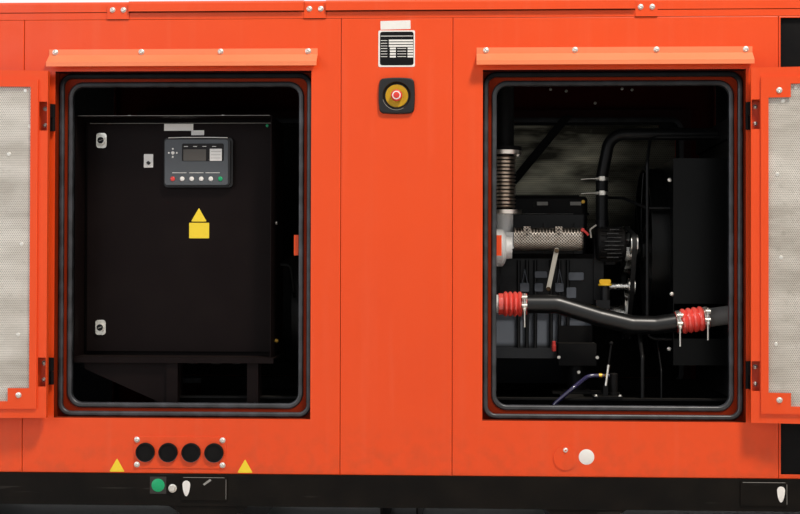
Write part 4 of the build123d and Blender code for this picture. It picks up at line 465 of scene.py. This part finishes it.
def at(rows, place, out="front", turn=0.0):
    """Rows spun by turn degrees in their own plane, then set at a place with their third axis pointing out."""
    out = np.array(DIRECTIONS[out] if isinstance(out, str) else out, float)
    out /= np.linalg.norm(out)
    across = np.array([1.0, 0, 0]) if abs(out[2]) > 0.99 else np.cross([0, 0, 1.0], out)
    across /= np.linalg.norm(across)
    c, s = np.cos(np.radians(turn)), np.sin(np.radians(turn))
    spun = rows @ np.array([[c, s, 0], [-s, c, 0], [0, 0, 1]])
    return spun @ np.array([across, np.cross(out, across), out]) + np.array(place, float)


def turned(place, profile, out="front", count=20):
    """A lathe-turned shape from its (radius, rise) profile."""
    return at(stacked(lambda radius: circle(radius, count), profile), place, out)


def plate(place, width, height, thick, corner=2.0, out="front", turn=0.0):
    """A thin plate with round corners and a softened front edge, its back at the place."""
    edge = min(0.4 * thick, 0.8)
    shape = lambda cut: rounded(width - 2 * cut, height - 2 * cut, max(corner - cut, 0.2))
    return at(stacked(shape, [(0, 0), (0, thick - edge), (edge, thick)]), place, out, turn)


def rod(points, radius, count=12, steps=10):
    """A round rod: a ring carried square to a Catmull-Rom curve through the points."""
    p = np.array(points, float)
    p = np.vstack([2 * p[0] - p[1], p, 2 * p[-1] - p[-2]])
    a, b, c, d = (part[:, None, :] for part in (p[:-3], p[1:-2], p[2:-1], p[3:]))
    t = np.linspace(0, 1, steps, endpoint=False)[None, :, None]
    curve = 0.5 * (2 * b + (c - a) * t + (2 * a - 5 * b + 4 * c - d) * t**2 + (3 * b - a - 3 * c + d) * t**3)
    curve = np.vstack([curve.reshape(-1, 3), p[-2]])
    along = np.gradient(curve, axis=0)
    along /= np.linalg.norm(along, axis=1, keepdims=True)
    steady = np.eye(3)[np.abs(along).mean(axis=0).argmin()]
    side = np.cross(along, steady)
    side /= np.linalg.norm(side, axis=1, keepdims=True)
    ring = circle(radius, count)
    return curve[:, None] + ring[None, :, :1] * side[:, None] + ring[None, :, 1:] * np.cross(along, side)[:, None]


def skin(rows):
    """Points and quads: each row closes on its first column, and each end row on its own middle."""
    ends = np.broadcast_to(rows[[0, -1]].mean(axis=1, keepdims=True), (2, *rows.shape[1:]))
    grid = np.concatenate([ends[:1], rows, ends[1:]])
    index = np.arange(grid.shape[0] * grid.shape[1]).reshape(grid.shape[:2])
    after = np.roll(index, -1, axis=1)
    quads = np.stack([index[:-1], after[:-1], after[1:], index[1:]], axis=-1)
    return grid.reshape(-1, 3), quads.reshape(-1, 4)


def make(name, skins, material, body="enclosure", sharp=32):
    """One piece from closed skins in millimetres: poles merged, faces outwards, smooth below the sharp angle."""
    shapes = [skin(rows) for rows in skins]
    starts = np.cumsum([0] + [len(points) for points, quads in shapes[:-1]])
    points = np.concatenate([points for points, quads in shapes]) * MM
    quads = np.concatenate([quads + start for (points_, quads), start in zip(shapes, starts)])
    mesh = bpy.data.meshes.new(name)
    mesh.from_pydata(points.tolist(), [], quads.tolist())
    work = bmesh.new()
    work.from_mesh(mesh)
    bmesh.ops.remove_doubles(work, verts=work.verts, dist=1e-6)
    bmesh.ops.dissolve_degenerate(work, edges=work.edges, dist=1e-7)
    bmesh.ops.recalc_face_normals(work, faces=work.faces)
    work.to_mesh(mesh)
    work.free()
    mesh.shade_smooth()
    mesh.set_sharp_from_angle(angle=np.radians(sharp))
    mesh.materials.append(material)
    piece = bpy.data.objects.new(name, mesh)
    bpy.context.scene.collection.objects.link(piece)
    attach(piece, body)
    print("made", name, "from", len(skins), "skins,", len(mesh.polygons), "faces")
    return piece


print("a hexagon 17 mm over its flats is", round(float(np.ptp(hexagon(17)[:, 0])), 2), "mm over its corners")


# %% [markdown]
# Two heads hold the sheets: a button-head screw with a hollow for its key, on a broad washer, and
# the hexagon bolt. The zinc on them is new, so each catches a small highlight, and that row of
# bright dots is what gives the long orange gutters their scale.

# %% Screws and bolts
PANEL_FRONT = -650.0
BUTTON = ((1, 0), (1, 0.15), (0.86, 0.19), (0.84, 0.34), (0.7, 0.5), (0.4, 0.6), (0.36, 0.58), (0.33, 0.34))


def button(place, out="front", radius=9.0):
    """A button-head screw: washer, dome and key hollow, all as shares of the washer's radius."""
    return turned(place, [(radius * size, radius * rise) for size, rise in BUTTON], out)


def bolt(place, out="front", across=17.0, turn=12.0):
    """A hexagon bolt: a washer three quarters of its width in radius, and a head with a chamfered crown."""
    washer = turned(place, [(across * 0.74, 0), (across * 0.74, 1.8), (across * 0.7, 2.2)], out)
    head = [(across, 1.5), (across, across * 0.5), (across * 0.88, across * 0.58)]
    return [washer, at(stacked(hexagon, head), place, out, turn)]


def bolts(places, out="front", across=17.0):
    """A flat list of the skins of several hexagon bolts, each turned its own way as hands leave them."""
    return [rows for index, place in enumerate(places) for rows in bolt(place, out, across, 12 + 37 * index)]


def mirrored(places, out_front="front", out_rear="rear", **settings):
    """Button-head screws on the photographed side, and the same on the rear side."""
    front = [button(place, out_front, **settings) for place in places]
    return front + [button((x, -y, z), out_rear, **settings) for x, y, z in places]


GUTTER_SCREWS = [(side * x, -652.5, 1667) for side in (-1, 1) for x in (296, 590, 857, 1149)]
CLIP_SCREWS = [(x, -654.3, 1808) for x in (-955, -918, -292, -254, 805, 843)]
GLAND_SCREWS = [(x, -653.0, z) for x in (-866, -578) for z in (286, 369)]
HINGE_BOLTS = [(side * 1173, -654.0, z + up) for side in (-1, 1) for z in (596.8, 1445.8) for up in (-28, 28)]
make("gutter_screws", mirrored(GUTTER_SCREWS, radius=9.5), zinc_plate)
make("roof_clip_screws", mirrored(CLIP_SCREWS, radius=9.0), zinc_plate)
make("gland_plate_screws", [button(place, radius=9.5) for place in GLAND_SCREWS], zinc_plate)
make("hinge_screws", mirrored(HINGE_BOLTS, radius=7.0), zinc_plate)
make("rear_hinge_leaf_screws", [button((side * 1131, 654.0, z + up), "rear", 7.0) for side in (-1, 1) for z in (596.8, 1445.8) for up in (-28, 28)], zinc_plate)
# Painted highlights: thin grey arcs along the lower lips of the blanking plugs.
turn = np.radians(np.linspace(195, 345, 12))
lip_highlights = [rod(np.column_stack([x + 31.2 * np.cos(turn), np.full(12, -661.7), 327.3 + 31.2 * np.sin(turn)]), 0.8, steps=3) for x in np.linspace(-837.5, -606.5, 4)]
make("plug_lip_highlights", lip_highlights, moulded_grey_and_highlight)
make("drain_cover_screw", [button((560, -653.3, 345.3), radius=8.0)], zinc_plate)
make("earth_bolt", bolt((-745, -655.0, 208), across=19.0), zinc_plate)


# %% [markdown]
# Every printed place is left bare: a plate of the right size and colour with empty fields. The data
# plate is white printed metal with a dark field, a rule under its header and three full and eight
# half fields; each is a thin plate of its own, so that the edges catch light as real layers do.

# %% Bare plates and labels on the side
def fields(x, heights, width, height, front):
    """Empty printed fields at several heights round one x."""
    return [plate((x, front, z), width, height, 0.3, 0.6) for z in heights]


make("data_plate", [plate((-1, PANEL_FRONT, 1674), 122, 122, 1.2, 5)], white_print_and_highlight)
make("data_plate_field", [plate((-0.5, -651.2, 1674.5), 112, 112, 0.4, 8)], black_print)
rows_full, rows_half = (1701, 1692, 1683), (1674.5, 1665.5, 1656.5, 1647.5)
full = fields(13.5, rows_full, 81, 6, -651.6)
half = [rows for x, width in ((-13.5, 20), (45, 19)) for rows in fields(x, rows_half, width, 6, -651.6)]
ruled = [plate((-0.5, -651.6, 1716), 108, 2.0, 0.3, 0.5)]
ruled += fields(-43, rows_full + rows_half, 22, 1.8, -651.6) + fields(16, rows_half, 30, 1.8, -651.6)
make("data_plate_blanks", full + half, white_print_and_highlight)
make("data_plate_rules", ruled, white_print_and_highlight)
STOP_HEIGHT = 1516.3
# Painted highlight: a thin grey arc on the lower left of the stop button's well.
turn = np.radians(np.linspace(195, 300, 8))
well_highlight = np.column_stack([47.3 * np.cos(turn), np.full(8, -661.8), STOP_HEIGHT + 47.3 * np.sin(turn)])
make("stop_well_highlight", [rod(well_highlight, 0.8, steps=4)], grey_print_and_highlight)
make("stop_button_rim", [turned((0, -678, STOP_HEIGHT), [(14.0, 0), (14.0, 0.3), (13.6, 0.5)], count=32)], white_print_and_highlight, "stop_button")
make("stop_button_cap", [turned((0, -678.5, STOP_HEIGHT), [(10.6, 0), (10.6, 0.3), (10.2, 0.5)], count=32)], moulded_red, "stop_button")
make("top_label", [plate((-5, PANEL_FRONT, 1753), 100, 29, 0.5, 2, turn=1.2)], white_print_and_highlight)
make("round_label", [turned((629, PANEL_FRONT, 323), [(25.5, 0), (25.5, 0.6), (24.8, 1.0)], count=40)], white_print_and_highlight)
tri = lambda x: at(stacked(lambda cut: triangle(52 - 2 * cut), [(0, 0), (0, 0.4), (0.3, 0.6)]), (x, PANEL_FRONT, 276), "front")
make("yellow_labels", [tri(-934), tri(-503)], yellow_print)
print("side plates stand", round(abs(-651.9 - PANEL_FRONT), 2), "mm proud")


# %% [markdown]
# The black base rail carries an earth place with its green disc, and white drop-shaped tags beside
# the lifting pads. Here all of them are bare. The tag's outline is a circle whose lower half is
# drawn down and in, as a cut vinyl tag is.

# %% Bare plates on the base rail
RAIL_FRONT, PAD_FRONT = -655.0, -661.0


def drop_tag(x, z, width=26.0, height=52.0):
    """A drop-shaped tag: a circle above, its lower half stretched down and narrowed to two thirds."""
    def outline(cut):
        ring = circle(width / 2 - cut, 32)
        below = np.minimum(ring[:, 1], 0) / (width / 2)
        stretch = np.where(ring[:, 1] < 0, (height - width / 2) / (width / 2), 1.0)
        return ring * np.column_stack([1 + 0.12 * below, stretch]) + [0, (height - width) / 2]
    return at(stacked(outline, [(0, 0), (0, 0.4), (0.3, 0.7)]), (x, PAD_FRONT, z), "front")


make("earth_plate", [plate((-794, RAIL_FRONT, 218), 55, 57, 1.0, 1.5)], grey_vinyl)
make("earth_disc", [turned((-794, -656.0, 218), [(22, 0), (22, 0.3), (21.5, 0.6)], count=40)], green_print)
make("lifting_tags", [drop_tag(-698, 209), drop_tag(1261, 207)], white_print_and_highlight)
rubbed = [plate((x, PAD_FRONT, 245.4), 138, 1.5, 0.25, 0.6) for x in (-639, 1206)]
rubbed += [plate((x, PAD_FRONT, 207), 1.2, 66, 0.25, 0.5) for x in (-565, 1280)]
rubbed.append(plate((-628, PAD_FRONT, 230), 30, 7, 0.25, 1.4, turn=35))
make("rubbed_pad_edges", rubbed, grey_print_and_highlight)
print("tags ride on the pads at", PAD_FRONT, "mm")


# %% [markdown]
# The doors are drawn closed, as their maker would draw them, and turned open about their hinges by
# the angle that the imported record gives, so that each screw lands on the door where it stands now.
# Screws hold the latch tabs and the hinge slots, and spread pins with flat heads hold the liners.

# %% Screws and pins on the open doors
def on_door(skins, body):
    """Closed-door coordinates turned about the upright hinge by the angle from closed to fully open."""
    joint = next(j for j in frame["record"]["behaviour"]["joints"] if j["name"] == body + "_hinge")
    angle = np.radians(-joint["range_deg"][0] * joint["axis"][2])
    pivot = np.array([joint["pos_m"][0], joint["pos_m"][1], 0]) / MM
    c, s = np.cos(angle), np.sin(angle)
    return [(rows - pivot) @ np.array([[c, s, 0], [-s, c, 0], [0, 0, 1]]) + pivot for rows in skins]


TAB_FACE, SLOT_FACE, LINER_FACE = -604.0, -648.0, -614.5
PIN = [(7.0, 0), (7.0, 0.8), (6.0, 1.6), (2.0, 1.9)]
tab_places = {"right_door": [(x, TAB_FACE, z) for x in (379.5, 1055.5) for z in (521.3, 1521.3)], "left_door": [(-x, TAB_FACE, 521.3) for x in (379.5, 1055.5)]}
pin_places = {"right_door": [(1004, 1530), (1043, 1487), (1062, 1250), (1050, 980), (1066, 700), (700, 1300), (690, 800)], "left_door": [(-1071, 1530), (-1086, 1412), (-1017, 1319), (-1061, 1020), (-1051, 720), (-700, 1290), (-690, 820)]}
for body, side in (("right_door", 1), ("left_door", -1)):
    slots = [(side * 1129.5, SLOT_FACE, z + up) for z in (596.8, 1445.8) for up in (-28, 28)]
    screws = [button(place, "rear", 9.5) for place in tab_places[body]] + [button(place, "rear", 7.5) for place in slots]
    make(body + "_screws", on_door(screws, body), zinc_plate, body)
    pins = [turned((x, LINER_FACE, z), PIN, "rear") for x, z in pin_places[body]]
    make(body + "_liner_pins", on_door(pins, body), zinc_plate, body)


# %% [markdown]
# The controller is a moulded box with a glass screen, a small display, a blank white block, a ring
# of five navigation dots and a row of six buttons under a printed line. All of it rides on the
# cabinet's door. Labels, a toggle switch and a yellow sign place stand on the door around it.

# %% Controller face
FACE = -481.6
make("controller_face", [plate((-702, -481.0, 1309.5), 220, 157, 0.6, 9)], moulded_grey_and_highlight, "cabinet_door")
# Painted highlight: a pale rod along the top of the controller's bezel.
edge = [(-800, -480, 1394.4), (-755, -480, 1395.4), (-700, -480, 1395.8), (-640, -480, 1395.4), (-594, -480, 1394.4)]
make("controller_edge_highlight", [rod(edge, 1.3)], white_print_and_highlight, "cabinet_door")
make("screen_glass", [plate((-679.5, FACE, 1343.5), 145, 61, 1.5, 5)], dark_glass, "cabinet_door")
lcd_glass = dusty_paint("grey_lcd_glass", "524E49", 0.12, "77736C", 0.1, 3.0, 0.005)
make("display", [plate((-707.5, FACE - 1.5, 1334), 79, 40, 0.5, 1.5)], lcd_glass, "cabinet_door")
make("white_block", [plate((-634, FACE - 1.5, 1335), 42, 42, 0.5, 1.5)], white_print_and_highlight, "cabinet_door")
block_lines = [plate((-634, FACE - 2.0, z), 34, 1.2, 0.2, 0.4) for z in (1346, 1335, 1324)]
screen_dashes = [plate((x, FACE - 1.5, 1364), 14, 1.8, 0.3, 0.6) for x in (-738, -706, -674, -640)]
printed_line = [plate((x, FACE, 1273), 50, 1.8, 0.4, 0.6) for x in (-761, -702, -645)]
make("printed_lines", screen_dashes + printed_line, white_print_and_highlight, "cabinet_door")
make("block_lines", block_lines, grey_print_and_highlight, "cabinet_door")

DOT = [(1, 0), (1, 0.25), (0.8, 0.42), (0.4, 0.5)]
dot = lambda x, z, radius: turned((x, FACE, z), [(radius * size, radius * rise) for size, rise in DOT])
nav_dots = [dot(-784 + 14 * x, 1342 + 14 * z, 3.2) for x, z in ((1, 0), (-1, 0), (0, 1), (0, -1))]
button_places = np.linspace(-784, -618, 6)
white_buttons = [dot(x, 1252, 8.0) for x in button_places[1:5]]
make("white_buttons", [*white_buttons, *nav_dots, dot(-784, 1342, 6.0)], white_print_and_highlight, "cabinet_door")
make("red_button", [dot(button_places[0], 1252, 8.0)], moulded_red, "cabinet_door")
make("green_button", [dot(button_places[5], 1252, 8.0)], green_print, "cabinet_door")
print("six buttons", round(float(np.diff(button_places)[0]), 1), "mm apart")


# %% [markdown]
# Round the controller the cabinet's door carries two label strips, a small switch on a white plate,
# a yellow sign place and two quarter-turn locks. Each label is a thin plate with its print left off.
# The locks' dark cores and the slots for the key stand on the knobs of the CAD model.

# %% Cabinet door labels, switch and locks
DOOR_FRONT = -455.0
strips = [plate((-769, DOOR_FRONT, 1433), 102, 24, 0.6, 1.5), plate((-702.5, DOOR_FRONT, 1414), 45, 17, 0.6, 1.5)]
make("label_strips", strips, white_print_and_highlight, "cabinet_door")
make("switch_plate", [plate((-874.5, DOOR_FRONT, 1316.5), 33, 47, 1.5, 2)], white_print_and_highlight, "cabinet_door")
toggle = [plate((-874.5, -456.5, 1309), 11, 11, 5, 2.5, turn=45)]
make("switch_toggle", toggle, moulded_black, "cabinet_door")
sign = [at(stacked(lambda cut: triangle(55 - 2 * cut), [(0, 0), (0, 0.4), (0.3, 0.6)]), (-697, DOOR_FRONT, 1121), "front")]
make("yellow_sign_place", [*sign, plate((-696, DOOR_FRONT, 1074), 70, 54, 0.6, 1.5)], yellow_print, "cabinet_door")
make("green_dot", [turned((-460, DOOR_FRONT, 1438), [(5, 0), (5, 0.3), (4.6, 0.5)])], green_print, "cabinet_door")
lock_slots = [plate((-1040, -469.3, z), 15, 2.4, 0.3, 1.0, turn=20) for z in (736.3, 1387.3)]
make("lock_slots", lock_slots, grey_print_and_highlight, "cabinet_door")
knobs = [turned((-1040, -469.0, z), [(11.5, 0), (11.5, 0.2), (11.0, 0.35)]) for z in (736.3, 1387.3)]
make("lock_cores", knobs, black_print, "cabinet_door")
# Painted highlights: thin grey rods along the top edges of the cabinet's hood and door.
make("cabinet_rim_highlight", [rod([(-1095, -559.4, 1462.8), (-437, -559.4, 1462.8)], 0.9, steps=2)], grey_print_and_highlight)
make("cabinet_door_edge_highlight", [rod([(-1080, -460.4, 1446.8), (-445, -460.4, 1446.8)], 0.9, steps=2)], grey_print_and_highlight, "cabinet_door")
cabinet_bolts = bolts([(-927, -520, 1463.3), (-603, -520, 1463.3)], "up", 10.0)
make("cabinet_top_bolts", cabinet_bolts, zinc_plate)
make("cabinet_side_screw", [button((-431, -430, 1101), "right", 8.0)], zinc_plate)
make("cabinet_side_plug", [turned((-431, -430, 691), [(9, 0), (9, 5), (7, 6), (7, 9), (5, 10)], "right")], brass)


# %% [markdown]
# The red hoses are held by T-bolt clamps: a wide band, two cross pins that the band loops round,
# and a long bolt through them whose tail hangs free. The coolant hose has two worm-drive clamps
# with a square housing. The pins' ends point to the left, as the fitter left them.

# %% Hose clamps
def band(middle, axis, radius, width, thick=1.6):
    """A clamp band: a ring of the width along the axis, its edges rounded."""
    middle, axis = np.array(middle, float), np.array(axis, float) / np.linalg.norm(axis)
    profile = [(radius - 0.4, 0), (radius + thick, 0.6), (radius + thick, width - 0.6), (radius - 0.4, width)]
    return turned(middle - axis * width / 2, profile, axis, 40)


def t_bolt_clamp(x, z, axis, tail):
    """A band on a hose cuff 37 mm in radius, with two cross pins, a nut and a bolt down to the tail."""
    front = -425.0 - 37 - 9
    pins = [rod([(x - 9, front, z + up), (x + 9, front, z + up)], 6.0, steps=2) for up in (24, -4)]
    lugs = [plate((x, front + 8, z + up), 18, 16, 6, 2) for up in (24, -4)]
    screw = rod([(x, front - 1, z + 36), (x, front - 1, tail)], 3.2, steps=2)
    nut = at(stacked(hexagon, [(12, 0), (13, 1), (13, 9), (12, 10)]), (x, front - 1, z - 22), "up")
    return [band((x, -425, z), axis, 37.0, 15.0), *pins, *lugs, screw, nut]


SLOPE = (110, 0, 16)
clamps = t_bolt_clamp(431, 822, (1, 0, 0), 743) + t_bolt_clamp(960, 762.2, SLOPE, 680) + t_bolt_clamp(1054, 775.9, SLOPE, 702)
make("charge_hose_clamps", clamps, zinc_plate)

worm_clamps = []
for z in (1272, 1220):
    worm_clamps += [band((722, -150, z), (0, 0, 1), 22.0, 12.0), plate((720, -172.5, z), 20, 17, 9, 2)]
    worm_clamps.append(rod([(712, -177, z), (670, -178, z - 1), (645, -178, z - 3)], 2.0))
make("coolant_hose_clamps", worm_clamps, zinc_plate)


# %% [markdown]
# Between these larger parts sit the things a fitter touches: the flat strut that steadies the heat
# shield, screws on the engine's arms, a red drain cap, a pull ring for the oil gauge, and the thin
# fins of the charging alternator, whose edges show as a ladder of light lines.

# %% Strut, caps and screws in the engine bay
browned_bolt = bare_metal("heat_browned_bolt", "5A4A38", 0.4, "2A221C", 0.5)
strut = plate((534.5, -312.0, 942), 16, 157, 4, 8, turn=-11.9)
make("shield_strut", [strut], pale_nylon)
make("strut_bolts", [*bolt((520, -316, 873), across=11.0), *bolt((549, -316, 1008), across=11.0)], browned_bolt)
rivets = [turned((x, -312.0, z), [(3.4, 0), (3.2, 1.0), (1.8, 1.8)]) for x in (445, 557) for z in (1067, 1082)]
make("strap_rivets", rivets, black_print)
# Painted highlights: two grey plates where the rocker cover's bosses catch the light.
make("rocker_cover_highlights", [plate((x, -123.0, 1184), 40, 13, 1.0, 1.5) for x in (508, 629)], grey_print_and_highlight)
make("gauge_plug", [turned((656, -123.0, 1190), [(7, 0), (7, 5), (5, 6), (5, 11), (3, 12)])], brass)
arm_screws = bolts([(558, -305, 632), (693, -305, 632), (628, -305, 580)], across=8.0)
make("engine_arm_screws", arm_screws, zinc_plate)
make("drain_cap", [turned((541, -292, 652), [(6, 0), (8, 2), (8, 22), (6.5, 24), (6.5, 36), (5, 37)], "up")], moulded_red)
shroud_screws = [(945, -370, 857.6), (936, -370, 666.4), (937, -370, 1254.2)]
make("shroud_screws", [button(place, radius=6.5) for place in shroud_screws], zinc_plate)
ring = [rod([(640, -300, 1083), (652, -306, 1074), (661, -302, 1064)], 4.5), turned((640, -300, 1081), [(6, 0), (6, 8)], (0.2, -1, 0.3))]
make("gauge_pull", ring, moulded_red)
make("gauge_tube", [rod([(668, -290, 1084), (690, -292, 1100)], 3.2), rod([(672, -290, 1055), (668, -290, 1084)], 3.0)], pale_nylon)
fins = [plate((745 + 6 * (index % 2), -322.0, 985 + 14 * index), 66 - 8 * abs(index - 3), 4.0, 3.0, 1.0) for index in range(8)]
make("alternator_fins", fins, bare_metal("cast_alternator_fins", "404040", 0.5, "2A2927", 0.5))
flange_bolts = [(362 + 56 * np.cos(a), -250 + 56 * np.sin(a), z) for a in np.radians((25, 155, 205, 335)) for z in (1352.0,)]
make("bellows_flange_bolts", bolts([(x, y, z) for x, y, z in flange_bolts], "down", 13.0), zinc_plate)
pump_bolts = bolts([(672, -498, 511), (754, -498, 511), (754, -430, 511)], "up", 9.0)
make("pump_plate_bolts", pump_bolts, zinc_plate)
make("lever_sleeve", [rod([(707.2, -480, 546), (716.5, -480, 617)], 4.6, steps=2)], zinc_plate, "pump_lever")
# Painted highlight: a grey strip along the rocker cover's flange.
make("rocker_flange_highlight", [plate((527, -123.5, 1146), 186, 2.2, 5, 0.8)], grey_print_and_highlight)
PADS = [(500, 924, 45, 24), (626, 918, 55, 29), (441, 878, 33, 33), (566, 878, 31, 33), (492, 878, 31, 31), (609, 859, 35, 39)]
make("block_pads", [plate((x, -168.0, z), width, height, 28, 5) for x, z, width, height in PADS], blue_enamel)
feeds = [rod([(x, -196, 943), (x + lean, -196, 892)], 2.0, steps=2) for x in (441, 566) for lean in (-8, 10)]
make("injector_feeds", feeds, blue_enamel)
make("pump_elbow", [turned((700, -456, 578), [(9, -14), (9, -4), (7, -3), (7, 6), (9, 7), (9, 14)], (1, 0, 0))], brass)
far_screws = [(575, 598, 1692), (910, 598, 1689), (640, 598, 1684), (759, 598, 1634), (869, 598, 1693)]
make("far_side_screws", [button(place, radius=6.0) for place in far_screws], zinc_plate)


# %% [markdown]
# A plain pale floor and soft lamps stand in for the yard. A large lamp high on the right gives the
# short soft shadows that fall to the lower left under every ledge, a weaker one fills from the
# left, and the world gives the rest. Camera and glossy rays see a white surround, so the floor and
# the gloss paint reflect a studio without any more light falling on the set.

# %% Floor, lamps and world
def floor_sheet(size, drop):
    """A flat square floor of side size metres, drop metres under the feet."""
    half = size / 2
    corners = [(-half, -half, -drop), (half, -half, -drop), (half, half, -drop), (-half, half, -drop)]
    mesh = bpy.data.meshes.new("floor")
    mesh.from_pydata(corners, [], [(0, 1, 2, 3)])
    floor = bpy.data.objects.new("floor", mesh)
    bpy.context.scene.collection.objects.link(floor)
    return floor


def lamp(name, place, size, power, colour="FFFFFF"):
    """A square soft lamp at a place, aimed at the middle of the housing."""
    light = bpy.data.lights.new(name, "AREA")
    light.size, light.energy, light.color = size, power, linear(colour)[:3]
    holder = bpy.data.objects.new(name, light)
    aim = Vector((0, 0, 1.0)) - Vector(place)
    holder.matrix_world = Matrix.Translation(place) @ aim.to_track_quat("-Z", "Y").to_matrix().to_4x4()
    bpy.context.scene.collection.objects.link(holder)


floor = floor_sheet(60, 0.001)
pale, pale_tree = blank_material("pale_studio_floor")
add(pale_tree, "OutputMaterial", add(pale_tree, "BsdfPrincipled", Base_Color="D8D6D2", Roughness=0.7))
floor.data.materials.append(pale)
lamp("key", (2.6, -4.6, 7.6), 1.3, 622, "FFF6EA")
lamp("fill", (-4.5, -5.5, 2.6), 3.5, 105, "F2F6FF")
lamp("back", (1.0, 6.0, 4.5), 4.0, 180)

world = bpy.data.worlds.new("studio")
bpy.context.scene.world = world
world.use_nodes = True
sky = world.node_tree
sky.nodes.clear()
rays = add(sky, "LightPath").outputs
seen = add(sky, "Math", rays["Is Camera Ray"], rays["Is Glossy Ray"], operation="MAXIMUM")
seen = add(sky, "Math", seen, rays["Is Transmission Ray"], operation="MAXIMUM")
soft = add(sky, "Background", "EEF2F7", 0.28)
white = add(sky, "Background", "FFFFFF", 1.0)
add(sky, "OutputWorld", add(sky, "MixShader", seen, soft, white))
bpy.context.scene.view_settings.view_transform = "Standard"
print("lamps and world ready")
